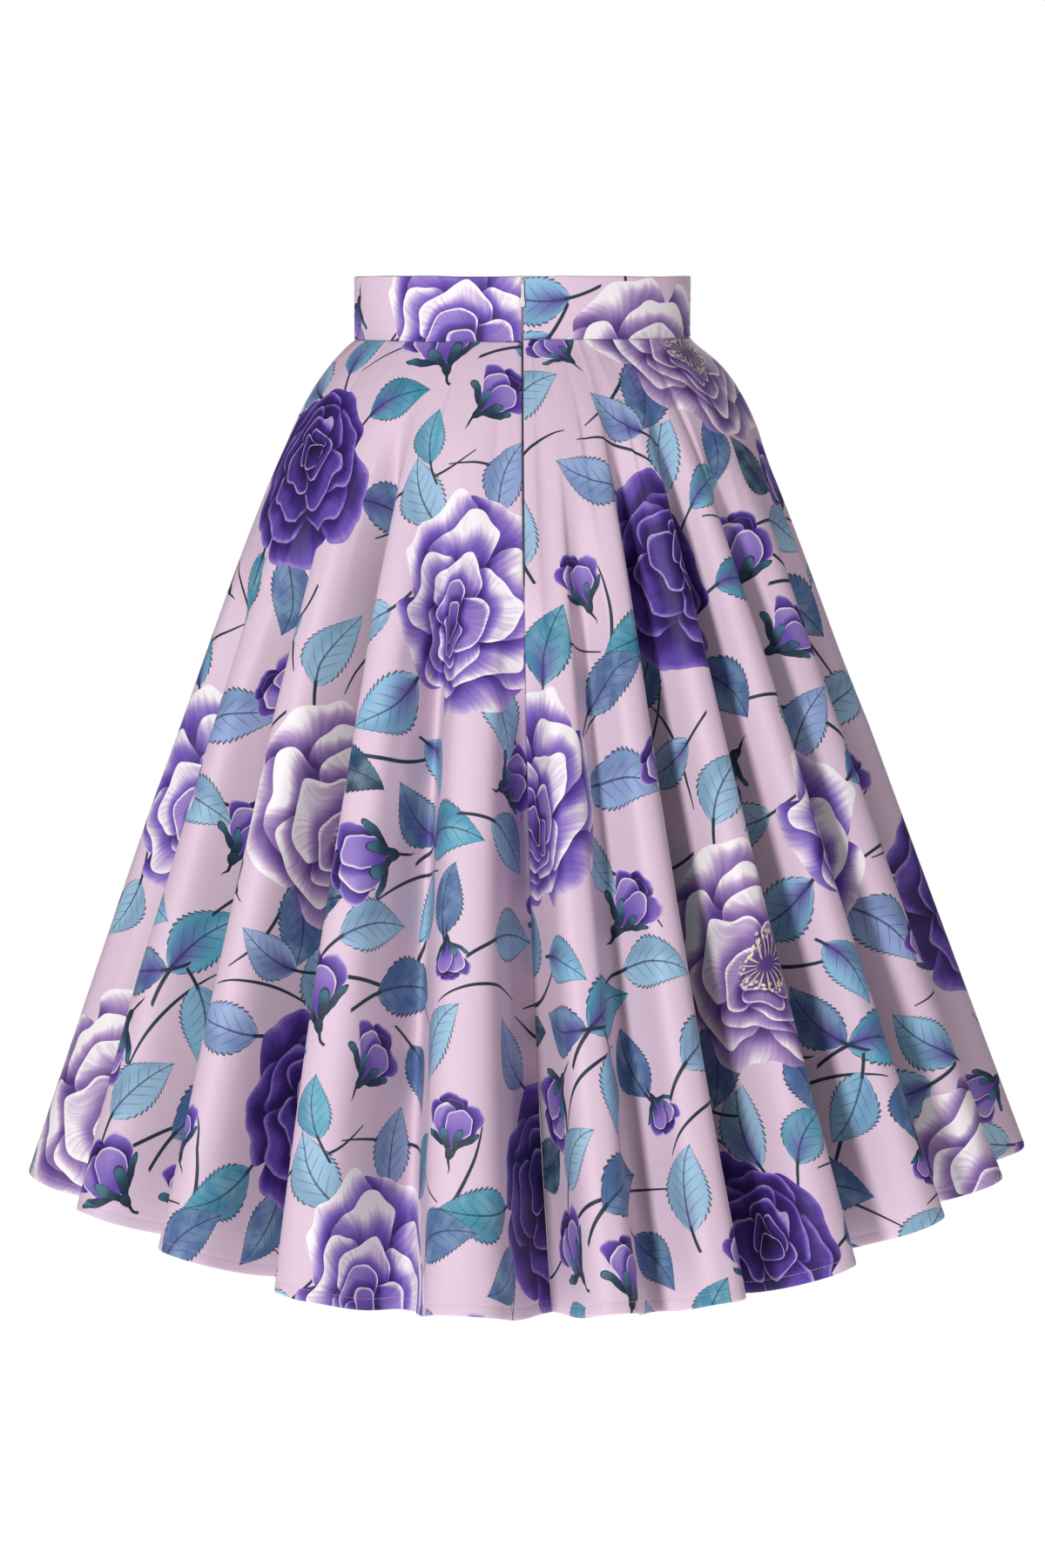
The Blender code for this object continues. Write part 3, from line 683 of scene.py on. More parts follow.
# %% Hem stitches
STITCH_SPACING, STITCH_LENGTH, THREAD = 0.0031, 0.0023, 0.00016
STITCH_SINK, STITCH_ARCH, STITCH_MARGIN = 0.00004, 0.00012, 0.002
AHEAD = 0.05  # how far the direction is read ahead and back, as share of the space between two points
stitches = {}
for name, (points, normals) in hem_lines.items():
    places, total = along_line(points, STITCH_SPACING, STITCH_MARGIN)
    middles, up = read_line(points, places), unit(read_line(normals, places))
    ahead = ahead_on(points, places, AHEAD)
    ahead = unit(ahead - up * np.sum(ahead * up, axis=1, keepdims=True))
    stitches[name] = rod_rows(
        name + "_hem_stitches", middles - up * STITCH_SINK, ahead, up, STITCH_LENGTH / 2, THREAD, STITCH_ARCH
    )
    print(name, "hem", round(total, 2), "m,", len(places), "stitches")

# %% [markdown]
# ## The invisible zip
#
# An invisible zip shows only a closed slit and its pull tab. Behind the slit lie two woven tapes, and between
# them a nylon coil on each side whose turns lock together. All of it follows the centre back down to a fifth
# of a metre below the waist. The slider is at the top, and its pull tab hangs down on the outside.

# %% Zip tapes
ZIP_ROWS, BAND_ZIP_ROWS, TAPE_COLUMNS = 90, 18, 8
TAPE_WIDTH, TAPE_WALL, TAPE_DEPTH = 0.0110, 0.0006, 0.0023
CHAIN_HALF, CHAIN_DEPTH, TAPE_LAP = 0.0019, 0.0031, 0.0002
SEARCH_REACH, SEARCH_STEPS = 0.9, 60  # how far from the centre back a surface is looked for, in phase
TAPE_STEP = 0.002  # from row to row, in the flat tape
ZIP_TOP, ZIP_START = 0.025, 0.002  # of the band's height, and of the skirt's length


def zip_surface(distances, side, depth):
    """Points at distances from the centre back and depth inside one side's face, from top to bottom."""
    reach = np.linspace(0.0, SEARCH_REACH, SEARCH_STEPS)
    phases = reach if side > 0 else FOLDS - reach
    face = np.concatenate([
        band_points(phases, np.linspace(ZIP_TOP, 1.0, BAND_ZIP_ROWS)),
        drape(phases, np.linspace(ZIP_START, ZIP_END, ZIP_ROWS)),
    ])
    along = run_along(face, 1)
    grid = np.stack([
        np.stack([np.interp(np.abs(distances), way, line[:, axis]) for axis in range(3)], axis=1)
        for way, line in zip(along, face)
    ])
    grid[:, :, 0] = np.where(distances * side < 0, 2.0 * face[:, :1, 0] - grid[:, :, 0], grid[:, :, 0])
    return grid - outward(grid) * depth


def make_tape(name, distances, side):
    grid = zip_surface(distances, side, TAPE_DEPTH)
    down = np.arange(1, len(grid) + 1) * TAPE_STEP
    cut = np.stack(np.meshgrid(np.linspace(0.0, TAPE_WIDTH, TAPE_COLUMNS), down), axis=2)
    return cloth_shell(name, grid, grid - outward(grid) * TAPE_WALL, cut, splits=1, meeting=(0.5, 0.5))


tape_reach = np.linspace(CHAIN_HALF - TAPE_LAP, CHAIN_HALF + TAPE_WIDTH, TAPE_COLUMNS)
tape_right = make_tape("zip_tape_right_woven", tape_reach, 1)
tape_left = make_tape("zip_tape_left_woven", -tape_reach[::-1], -1)
print("tapes", round(tape_right.dimensions.z, 3), "m long")

# %% Zip coil
COIL_PITCH, COIL_RADIUS, COIL_MARGIN, SLIDER_GAP = 0.00095, 0.00036, 0.001, 0.0004
TOOTH_REACH, TOOTH_SIDE, TOOTH_ARCH = 0.00115, 0.00045, 0.0002
slider_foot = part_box("zip_slider")[0].z
centre_line = zip_surface(np.array([-0.0005, 0.0, 0.0005]), -1, CHAIN_DEPTH)
facing, down = unit(outward(centre_line)[:, 1]), centre_line[:, 1]
places, coil_length = along_line(down, COIL_PITCH, COIL_MARGIN)
middles, out = read_line(down, places), unit(read_line(facing, places))
sideways = unit(np.cross(ahead_on(down, places, 2 * AHEAD), out))
below = middles[:, 2] < slider_foot - SLIDER_GAP
turn_side = np.where(np.arange(len(places)) % 2, TOOTH_SIDE, -TOOTH_SIDE)[:, None]
middles = middles + sideways * turn_side
coil = rod_rows("zip_coil", middles[below], sideways[below], out[below], TOOTH_REACH, COIL_RADIUS, TOOTH_ARCH)
print("coil:", int(below.sum()), "turns over", round(coil_length, 3), "m")

# %% [markdown]
# The pull tab is stamped from sheet metal: a flat outline with a window for the slider's bridge, and edges
# rounded by its coat of enamel. A flat curve with a hole, an extrusion and a small bevel is the shortest way
# to such a piece. It is drawn about its hinge, so it turns as the joint says.

# %% Outline of the pull tab
PULL_LENGTH, PULL_TOP, PULL_NECK, PULL_END = 0.0190, 0.0013, 0.00105, 0.0020
PULL_BAR, WINDOW_HALF, WINDOW_HEIGHT = 0.0004, 0.0007, 0.0017
TOP_CHAMFER, NECK_START = (0.7, 0.4), 1.9  # shares of the top and the bar, and of the shoulder's height


def pull_outline():
    shoulder, centre = -PULL_BAR - WINDOW_HEIGHT, -PULL_LENGTH + PULL_END
    half = [(PULL_TOP * TOP_CHAMFER[0], PULL_BAR), (PULL_TOP, PULL_BAR * TOP_CHAMFER[1]), (PULL_TOP, shoulder)]
    for share in np.linspace(0.0, 1.0, 9):
        ease = share * share * (3.0 - 2.0 * share)
        wide = PULL_NECK + (PULL_END - PULL_NECK) * ease**3
        half.append((wide, shoulder * NECK_START * (1.0 - share) + centre * share))
    for turn in range(-15, -90, -15):
        around = math.radians(turn)
        half.append((PULL_END * math.cos(around), centre + PULL_END * math.sin(around)))
    return half + [(0.0, -PULL_LENGTH)] + [(-x, z) for x, z in reversed(half)]


low = -PULL_BAR - WINDOW_HEIGHT
window = [(-WINDOW_HALF, -PULL_BAR), (WINDOW_HALF, -PULL_BAR), (WINDOW_HALF, low), (-WINDOW_HALF, low)]
print("the outline has", len(pull_outline()), "corners, and its window", len(window))

# %% Pull tab
PULL_WALL, PULL_ROUND = 0.0008, 0.00016
WELD, SHARP_EDGE = 1e-6, math.radians(50.0)
hinge = Vector(frame["joints"][0]["pos_m"])

curve = bpy.data.curves.new("zip_pull_tab", "CURVE")
curve.dimensions, curve.fill_mode = "2D", "BOTH"
curve.extrude, curve.bevel_depth, curve.bevel_resolution = PULL_WALL / 2 - PULL_ROUND, PULL_ROUND, 2
curve.offset = -PULL_ROUND
for outline in (pull_outline(), window):
    spline = curve.splines.new("POLY")
    spline.points.add(len(outline) - 1)
    for point, (x, z) in zip(spline.points, outline):
        point.co = (x, z, 0.0, 1.0)
    spline.use_cyclic_u = True
drawn = add_object("pull_drawn", curve)
bpy.context.view_layer.update()
mesh = bpy.data.meshes.new_from_object(drawn.evaluated_get(bpy.context.evaluated_depsgraph_get()))
bpy.data.objects.remove(drawn, do_unlink=True)
shape = bmesh.new()
shape.from_mesh(mesh)
bmesh.ops.remove_doubles(shape, verts=shape.verts[:], dist=WELD)
bmesh.ops.recalc_face_normals(shape, faces=shape.faces[:])
shape.to_mesh(mesh)
shape.free()
mesh.materials.clear()
mesh.shade_smooth()
mesh.set_sharp_from_angle(angle=SHARP_EDGE)
pull = add_object("zip_pull_tab", mesh)
pull.location = hinge
pull.rotation_euler = (math.radians(90.0), 0.0, 0.0)
print("pull tab", len(mesh.polygons), "faces, hinge at", tuple(round(value, 4) for value in hinge))

# %% [markdown]
# ## The print
#
# The cloth is printed with big flowers, buds and leaves in violet, lilac and teal on a pale lilac ground. No
# picture is used: the print is drawn by shader nodes in the coordinates of the flat cloth, so it is sharp at
# any distance and runs through folds as a real print does.
#
# A motif is drawn once, round a middle of its own, and a table says where its copies lie in the repeat. The
# nodes find the copy that a point is nearest to, and pass on only the step from that copy's middle. A copy
# costs six small nodes, and the drawing itself is paid for once.
#
# Cycles has room for about 250 numbers at a time, so a big drawing has to be thrifty. Each flower is painted
# in one number, its tone, and a colour ramp turns tones into violets once, at the end.
#
# Every helper below adds its nodes to one tree, the one that was started last, so a formula stays short.

# %% Short names for nodes
def fill(node, values):
    """Gives a node its inputs, as (input, value) pairs, where a value may be another node's socket."""
    for place, value in values:
        if isinstance(value, bpy.types.NodeSocket):
            tree.links.new(value, node.inputs[place])
        else:
            node.inputs[place].default_value = value
    return node


def put(kind, values=(), **settings):
    node = tree.nodes.new("ShaderNode" + kind)
    for name, setting in settings.items():
        setattr(node, name, setting)
    return fill(node, values)


def maths(operation, *values):
    return put("Math", enumerate(values), operation=operation).outputs[0]


def short(*operations):
    return [partial(maths, operation) for operation in operations]


times, times_plus, minus, over = short("MULTIPLY", "MULTIPLY_ADD", "SUBTRACT", "DIVIDE")
least, most, size_of, fraction = short("MINIMUM", "MAXIMUM", "ABSOLUTE", "FRACT")
whole, zigzag, is_below, is_above = short("FLOOR", "PINGPONG", "LESS_THAN", "GREATER_THAN")
print("times is short for", times.args[0])

# %% Vectors, ramps and mixes
def vectors(operation, *values):
    node = put("VectorMath", enumerate(values), operation=operation)
    return node.outputs[1 if operation in ("LENGTH", "DOT_PRODUCT") else 0]


dot = partial(vectors, "DOT_PRODUCT")


def coordinates(point):
    """The first two coordinates of a point, as values."""
    return dot(point, (1.0, 0.0, 0.0)), dot(point, (0.0, 1.0, 0.0))


def joined(*values):
    return put("CombineXYZ", enumerate(values)).outputs[0]


def ramp(value, low, high, start=0.0, end=1.0):
    """Value from low..high to start..end, with soft ends."""
    values = enumerate((value, low, high, start, end))
    return put("MapRange", values, interpolation_type="SMOOTHSTEP").outputs[0]


def mix(share, first, second, kind="RGBA", **settings):
    """From the first to the second: colours (RGBA), numbers (FLOAT) or vectors (VECTOR)."""
    place = {"FLOAT": 2, "VECTOR": 4, "RGBA": 6}[kind]
    pairs = ((0, share), (place, first), (place + 1, second))
    return put("Mix", pairs, data_type=kind, **settings).outputs[place // 2 - 1]


def noise(point, scale, detail, output=0):
    return put("TexNoise", ((0, point), (2, scale), (3, detail))).outputs[output]


print("dot is short for", dot.args[0])

# %% Colours
def rgb(red, green, blue):
    """A colour given as on a screen, from 0 to 255, as the linear numbers that shaders take."""
    parts = [value / 255.0 for value in (red, green, blue)]
    return (*[part / 12.92 if part <= 0.04045 else ((part + 0.055) / 1.055) ** 2.4 for part in parts], 1.0)


def coloured(tone, scale):
    """A tone from 0 to 1 as a colour of the scale."""
    node = put("ValToRGB", ((0, tone),))
    for number, (start, colour) in enumerate(scale):
        stop = node.color_ramp.elements[number] if number < 2 else node.color_ramp.elements.new(start)
        stop.position, stop.color = start, rgb(*colour)
    return node


GROUND = (224, 199, 219)
print("the ground colour is", [round(part, 3) for part in rgb(*GROUND)[:3]])

# %% Node groups
SOCKETS = {"vector": "NodeSocketVector", "colour": "NodeSocketColor", "value": "NodeSocketFloat"}


def new_group(name, takes, gives):
    """Starts a node group. Its inputs and outputs are given as names and kinds. Its inputs come back."""
    global tree
    tree = bpy.data.node_groups.new(name, "ShaderNodeTree")
    for way, rows in (("INPUT", takes), ("OUTPUT", gives)):
        for row in rows.split(", "):
            label, kind = row.split()
            tree.interface.new_socket(name=label, in_out=way, socket_type=SOCKETS[kind])
    return tree.nodes.new("NodeGroupInput").outputs


def give(**values):
    """Ends a node group: its outputs take their values."""
    fill(tree.nodes.new("NodeGroupOutput"), values.items())
    print(tree.name, "group:", len(tree.nodes), "nodes")
    return tree


def use(group, **values):
    return fill(put("Group", node_tree=group), values.items()).outputs


print("kinds of socket:", *SOCKETS)

# %% Wavy point
takes = new_group("wavy_point", "Point vector, Scale value, Reach vector", "Point vector")
centred = vectors("SUBTRACT", noise(takes["Point"], takes["Scale"], 0.7, 1), (0.5, 0.5, 0.5))
moved = vectors("MULTIPLY_ADD", centred, takes["Reach"], takes["Point"])
wavy_point = give(Point=vectors("MULTIPLY_ADD", moved, (1.0, 1.0, 0.0), (0.0, 0.0, 1.0)))


def wavy(point, scale, reach):
    """The point, moved unevenly, so that edges wander like a hand's. Its third coordinate becomes 1."""
    return use(wavy_point, Point=point, Scale=scale, Reach=(reach, reach, 0.0))[0]

# %% [markdown]
# A petal is an egg: narrow at its base, wide at its tip. Its tone is deep at the base, grows lighter towards
# the tip and ends in a thin pale rim. Before it is laid on the petals below, it darkens them with a soft
# shadow, and this is what gives a flat print its depth. Distances from its middle are kept squared, which
# saves a square root.
#
# The point's third coordinate is 1, so one dot product both turns the point and moves it to the petal's own
# middle.

# %% Petal
RIM_START, RIM_FULL = 0.87**2, 0.98**2
EGG_NARROWS, EGG_WIDTH = -0.42, 1.18
SHADOW_START, SHADOW_END, SHADOW_TONE = 0.92**2, 1.50**2, 0.42
DEEP_UNTIL, LIGHT_FROM = -0.75, 0.85

takes = new_group(
    "petal",
    "Point vector, Along vector, Across vector, Deep value, Light value, Rim value, Under value, Cover value",
    "Tone value, Cover value",
)
along, across = dot(takes["Point"], takes["Along"]), dot(takes["Point"], takes["Across"])
across = times(across, times_plus(along, EGG_NARROWS, EGG_WIDTH))
reach = times_plus(across, across, times(along, along))
under = times(takes["Under"], ramp(reach, SHADOW_START, SHADOW_END, SHADOW_TONE, 1.0))
body = ramp(along, DEEP_UNTIL, LIGHT_FROM, takes["Deep"], takes["Light"])
body = ramp(reach, RIM_START, RIM_FULL, body, takes["Rim"])
inside = is_below(reach, 1.0)
petal = give(Tone=mix(inside, under, body, "FLOAT"), Cover=most(takes["Cover"], inside))


def add_petal(point, layer, spot, turn, size, tones):
    """One more petal on a flower. layer is the tone and cover so far."""
    lead, side = math.cos(math.radians(turn)), math.sin(math.radians(turn))
    along = np.array([lead, side, -lead * spot[0] - side * spot[1]]) / size[0]
    across = np.array([-side, lead, side * spot[0] - lead * spot[1]]) / size[1]
    values = dict(zip(("Deep", "Light", "Rim", "Under", "Cover"), (*tones, *layer)))
    return use(petal, Point=point, Along=along, Across=across, **values)[:2]

# %% Rings of petals
TURN_SWAY, OUT_SWAY = 9.0, 0.11  # how unevenly a ring's petals are turned, in degrees, and spaced


def add_rings(point, layer, rings, tones, shift):
    """Rings are (petals, distance from the middle, half length, half width, first angle), outer one first."""
    for ring, (count, far, long, wide, first) in enumerate(rings):
        for number in range(count):
            turn = first + 360.0 * number / count + TURN_SWAY * math.sin(number * 2.4 + ring)
            out = far * (1.0 + OUT_SWAY * math.sin(number * 1.9 + ring * 2.0))
            around = math.radians(turn)
            spot = out * math.cos(around) + shift[0] * ring, out * math.sin(around) + shift[1] * ring
            layer = add_petal(point, layer, spot, turn, (long, wide), tones[ring])
    return layer


VIOLETS = ((0.0, (16, 8, 40)), (0.20, (54, 30, 112)), (0.42, (106, 76, 176)), (0.62, (150, 124, 198)),
           (0.82, (206, 184, 220)), (1.0, (247, 241, 245)))
MAUVES = ((0.0, (44, 24, 72)), (0.26, (90, 62, 134)), (0.50, (142, 112, 174)), (0.76, (196, 170, 208)),
          (1.0, (249, 243, 246)))
print("scales of", len(VIOLETS), "violets and", len(MAUVES), "mauves")

# %% [markdown]
# A flower has rings of petals round a tight heart that sits a little to one side. Each ring is laid on the
# one outside it. The flower's rank sets its tones: 0 is a dark violet rose, 1 a lighter one, and 2 a rose
# with white outer petals round a violet heart. Rank 3 is a mauve peony, whose heart is open: a dark eye with
# beige stamens, which are fine spokes with a dot of pollen at the end of each.

# %% Flower
FLOWER_RINGS = (
    (5, 0.55, 0.47, 0.58, 12.0), (5, 0.42, 0.41, 0.47, 50.0), (4, 0.28, 0.33, 0.40, 5.0),
    (3, 0.17, 0.24, 0.31, 48.0), (3, 0.080, 0.15, 0.19, 10.0),
)
# deep, light and rim of each ring
DARK_TONES = (
    (0.14, 0.46, 0.62), (0.12, 0.42, 0.66), (0.09, 0.36, 0.70), (0.06, 0.30, 0.74), (0.03, 0.26, 0.84),
)
PALE_TONES = (
    (0.93, 1.10, 1.10), (0.84, 1.10, 1.10), (0.58, 0.98, 1.08), (0.30, 0.66, 1.00), (0.12, 0.52, 0.94),
)
HEART_SHIFT, FIRST_TONE, HAND_SCALE, HAND_REACH = (0.065, 0.045), 0.1, 2.3, 0.38
VEIN_COUNT, VEIN_LIGHT = 22.0, (0.3, 0.7, 0.90, 1.03)
EYE_SPOT, EYE_REACH, EYE_TONE, EYE_EDGE = (0.13, 0.09), 0.25, 0.20, (1.15, 0.4)
STAMEN, STAMEN_COUNT, STAMEN_INNER, STAMEN_WIDTH = rgb(206, 190, 158), 17.0, (0.05, 0.10), (0.5, 0.95)
POLLEN, POLLEN_SCALE, POLLEN_SIZE = rgb(232, 220, 190), 17.0, (0.34, 0.22)
eye_edge = [EYE_REACH * share for share in EYE_EDGE]

takes = new_group("flower", "Point vector, Rank value", "Colour colour, Cover value")
pale = least(times(takes["Rank"], 0.5), 1.0)
has_eye = is_above(takes["Rank"], 2.5)
point = wavy(takes["Point"], HAND_SCALE, HAND_REACH)
tones = [[mix(pale, *pair, "FLOAT") for pair in zip(*rows)] for rows in zip(DARK_TONES, PALE_TONES)]
tone, cover = add_rings(point, (FIRST_TONE, 0.0), FLOWER_RINGS, tones, HEART_SHIFT)
right, up = dot(point, (1.0, 0.0, -EYE_SPOT[0])), dot(point, (0.0, 1.0, -EYE_SPOT[1]))
far = maths("SQRT", times_plus(up, up, times(right, right)))
angle = maths("ARCTAN2", up, right)
tone = times(tone, ramp(noise(joined(times(angle, VEIN_COUNT), far, 0.0), 1.0, 1.0), *VEIN_LIGHT))
eye = times(has_eye, ramp(far, *eye_edge))
tone = mix(eye, tone, EYE_TONE, "FLOAT")
colour = mix(has_eye, coloured(tone, VIOLETS).outputs[0], coloured(tone, MAUVES).outputs[0])
band = times(ramp(far, *STAMEN_INNER), ramp(far, EYE_REACH, EYE_REACH * 0.92))
spokes = ramp(maths("SINE", times(angle, STAMEN_COUNT)), *STAMEN_WIDTH)
colour = mix(times(has_eye, times(band, spokes)), colour, STAMEN)
grains = put("TexVoronoi", ((0, point), (2, POLLEN_SCALE)), voronoi_dimensions="2D").outputs[0]
band = times(ramp(far, EYE_REACH * 0.6, EYE_REACH * 0.8), ramp(far, eye_edge[0], EYE_REACH))
colour = mix(times(has_eye, times(band, ramp(grains, *POLLEN_SIZE))), colour, POLLEN)
flower = give(Colour=colour, Cover=cover)

# %% [markdown]
# A bud stands on its calyx: petals wrapped round a dark hollow, and narrow sepals that hold them. The petal
# group draws both. A sepal is only a thin petal in another scale of colours, so the bud has two layers,
# violet and teal.

# %% Bud
# place, turn, half length and half width, tones, in the order they are laid down
BUD_PETALS = (
    ((0.34, 0.02), 4.0, (0.42, 0.40), (0.22, 0.50, 0.80)),
    ((0.22, 0.36), 38.0, (0.40, 0.27), (0.34, 0.58, 0.84)),
    ((0.10, -0.36), -34.0, (0.46, 0.30), (0.30, 0.54, 0.82)),
    ((0.40, -0.02), -8.0, (0.22, 0.24), (0.10, 0.24, 0.62)),
    ((0.02, 0.16), 14.0, (0.50, 0.34), (0.40, 0.66, 0.94)),
    ((-0.04, -0.13), -14.0, (0.46, 0.33), (0.38, 0.62, 0.90)),
)
BUD_SEPALS = (
    ((-0.80, 0.0), 0.0, (0.26, 0.035), (0.10, 0.18, 0.14)),
    ((-0.26, 0.38), 58.0, (0.36, 0.085), (0.20, 0.75, 0.30)),
    ((-0.28, -0.36), -52.0, (0.38, 0.085), (0.15, 0.70, 0.30)),
    ((-0.32, 0.12), 22.0, (0.36, 0.105), (0.25, 0.85, 0.30)),
    ((-0.34, -0.14), -20.0, (0.33, 0.100), (0.20, 0.75, 0.30)),
    ((-0.60, 0.0), 0.0, (0.14, 0.13), (0.15, 0.45, 0.20)),
)
TEALS = ((0.0, (22, 32, 50)), (0.55, (40, 66, 88)), (1.0, (84, 144, 164)))

takes = new_group("bud", "Point vector", "Colour colour, Cover value")
point, layers = wavy(takes["Point"], 3.0, 0.20), []
for rows in (BUD_PETALS, BUD_SEPALS):
    layer = (FIRST_TONE, 0.0)
    for row in rows:
        layer = add_petal(point, layer, *row)
    layers.append(layer)
violet, teal = [coloured(layer[0], scale).outputs[0] for layer, scale in zip(layers, (VIOLETS, TEALS))]
bud = give(Colour=mix(layers[1][1], violet, teal), Cover=most(layers[0][1], layers[1][1]))

# %% [markdown]
# A rose leaf is widest near its base, pointed and toothed. Its midrib curves a little, its side veins run
# towards the tip, and one half is darker, as if the leaf were folded along the midrib. Violet spreads from
# the base of some leaves. A short stalk joins each leaf to its stem.

# %% Leaf
LEAF_SLIMNESS, LEAF_NARROWS, LEAF_BEND = 0.62, -0.36, 0.34
TEETH, TOOTH_SLANT, TOOTH_DEPTH = 7.5, -1.2, 0.12
VEIN_SLANT, VEIN_GAP, VEIN_WIDTH, VEIN_FADE = -0.62, 0.15, (0.022, 0.004), (0.88, 0.35, 0.0, 0.62)
BLOOM_SHARE, SHADED_SIDE = (0.35, 0.7, 0.0, 0.40), (-0.02, 0.45, 0.0, 0.34)
BLUSH_KINDS, BLUSH_ACROSS, BLUSH_ALONG = (0.3, 0.6, 0.1, 1.0), (0.85, 0.05), (0.45, -0.8)
RIB_TAPER, RIB_EDGE, EDGE_LINE = (-0.020, 0.040), (1.3, 0.5, 0.0, 0.8), (0.87, 0.95, 0.0, 0.9)
STALK_WIDTH, STALK_FOOT, STALK_TOP = (0.095, 0.055), (-1.72, -1.66), (-0.80, -0.88)
LEAF_TONES = (
    (0.00, (156, 194, 222)), (0.20, (92, 168, 196)), (0.38, (146, 166, 214)), (0.52, (66, 146, 172)),
    (0.66, (134, 184, 218)), (0.82, (82, 110, 160)), (0.93, (34, 58, 86)),
)
LEAF_BLOOM, LEAF_SHADE, LEAF_BLUSH = rgb(168, 202, 222), rgb(40, 94, 130), rgb(92, 74, 158)
LEAF_VEIN, MIDRIB, LEAF_EDGE, STEM_COLOUR = rgb(44, 66, 92), rgb(40, 56, 84), rgb(30, 46, 70), rgb(34, 50, 68)

takes = new_group("leaf", "Point vector, Kind value", "Colour colour, Cover value")
along, across = coordinates(takes["Point"])
across = over(across, LEAF_SLIMNESS)
squared = times(along, along)
side = minus(times_plus(squared, LEAF_BEND, across), LEAF_BEND * 0.35)
off = size_of(side)
width = times(minus(1.0, squared), times_plus(along, LEAF_NARROWS, 1.0))
tooth = fraction(times_plus(along, TEETH, times(off, TOOTH_SLANT)))
width = times(width, times_plus(tooth, -TOOTH_DEPTH, 1.05))
share = over(off, most(width, 0.001))
tones = coloured(takes["Kind"], LEAF_TONES)
tones.color_ramp.interpolation = "CONSTANT"
bloom = ramp(noise(takes["Point"], 1.7, 2.0), *BLOOM_SHARE)
colour = mix(bloom, tones.outputs[0], LEAF_BLOOM)
colour = mix(ramp(side, *SHADED_SIDE), colour, LEAF_SHADE)
blushing = ramp(fraction(times(takes["Kind"], 7.3)), *BLUSH_KINDS)
blush = times(ramp(share, *BLUSH_ACROSS), ramp(along, *BLUSH_ALONG))
colour = mix(times(blush, blushing), colour, LEAF_BLUSH)
vein = ramp(zigzag(times_plus(off, VEIN_SLANT, along), VEIN_GAP), *VEIN_WIDTH)
colour = mix(times(vein, ramp(share, *VEIN_FADE)), colour, LEAF_VEIN)
colour = mix(ramp(over(off, times_plus(along, *RIB_TAPER)), *RIB_EDGE), colour, MIDRIB)
colour = mix(ramp(share, *EDGE_LINE), colour, LEAF_EDGE)
stalk = times(ramp(off, *STALK_WIDTH), ramp(along, *STALK_FOOT))
stalk = times(stalk, ramp(along, *STALK_TOP))
colour = mix(stalk, colour, STEM_COLOUR)
leaf = give(Colour=colour, Cover=most(stalk, ramp(share, 1.0, 0.95)))

# %% [markdown]
# ## The repeat
#
# A printed cloth repeats. Here one repeat is 46 cm wide and 50 cm high. The tables are the layout: they place
# each motif by its middle, its turn and its rank, where a higher rank is larger. A motif near the repeat's
# edge goes on at the other side, because every copy wraps the cloth's coordinates about its own middle.
#
# The copy's number, its rank plus its turn as a share of a full turn, rides along in the third coordinate. It
# is too small there to change a distance.

# %% Layout
REPEAT = (0.46, 0.50)
# across and up in millimetres, turn in degrees, rank
FLOWERS = ((100, 360, 20, 0), (335, 235, 205, 2), (140, 85, 250, 3))
BUDS = (
    (232, 432, 112, 5), (290, 392, 62, 3), (205, 238, 250, 2), (260, 30, 200, 5), (432, 368, 100, 2),
    (418, 128, 35, 3), (22, 222, 150, 3), (395, 482, 290, 0), (30, 50, 120, 1),
)
FAR_LEAVES = (
    (18, 440, 150, 3), (8, 318, 200, 3), (190, 300, 330, 3), (205, 385, 15, 2), (110, 462, 98, 4),
    (255, 305, 128, 3), (385, 335, 55, 3), (440, 215, 345, 4), (262, 145, 222, 4), (128, 205, 60, 3),
    (40, 150, 172, 3), (90, 2, 262, 4), (215, 0, 175, 3), (360, 68, 12, 4), (320, 448, 8, 4),
    (398, 425, 70, 3), (322, 112, 318, 2), (452, 20, 20, 3),
)
NEAR_LEAVES = (
    (48, 285, 232, 3), (165, 452, 52, 2), (62, 486, 140, 2), (325, 335, 92, 3), (440, 292, 28, 3),
    (392, 165, 312, 3), (75, 225, 205, 2), (222, 205, 195, 2), (235, 92, 350, 3), (30, 100, 212, 4),
    (170, 485, 300, 2), (300, 72, 145, 3), (425, 82, 342, 3), (275, 485, 20, 3), (345, 388, 300, 2),
    (335, 10, 250, 3), (380, 22, 96, 2), (246, 350, 100, 1),
)
# from, to, how far its middle bows to the left, half thickness, all in millimetres
STEMS = (
    ((165, 425), (380, 430), 18, 1.5), ((165, 285), (290, 345), -14, 1.3), ((270, 330), (435, 315), 16, 1.4),
    ((18, 470), (100, 440), 8, 1.2), ((140, 170), (215, 235), 10, 1.3), ((190, 120), (330, 130), -20, 1.5),
    ((375, 180), (440, 105), 12, 1.3), ((90, 60), (30, -20), 14, 1.4), ((410, 260), (452, 378), -16, 1.4),
    ((70, 300), (22, 170), 12, 1.3), ((270, 0), (360, 40), 10, 1.3), ((320, 430), (345, 520), 8, 1.4),
    ((395, 450), (470, 480), 10, 1.2), ((100, 190), (60, 270), -8, 1.2),
)
print("in one repeat:", len(FLOWERS), "flowers,", len(BUDS), "buds,", len(FAR_LEAVES + NEAR_LEAVES),
      "leaves and", len(STEMS), "stems")

# %% Nearest copy
NUMBER_STEP = 0.0001
COPY_STEP = 23.0  # how far the copies lie apart in the noise that makes each one's edges its own


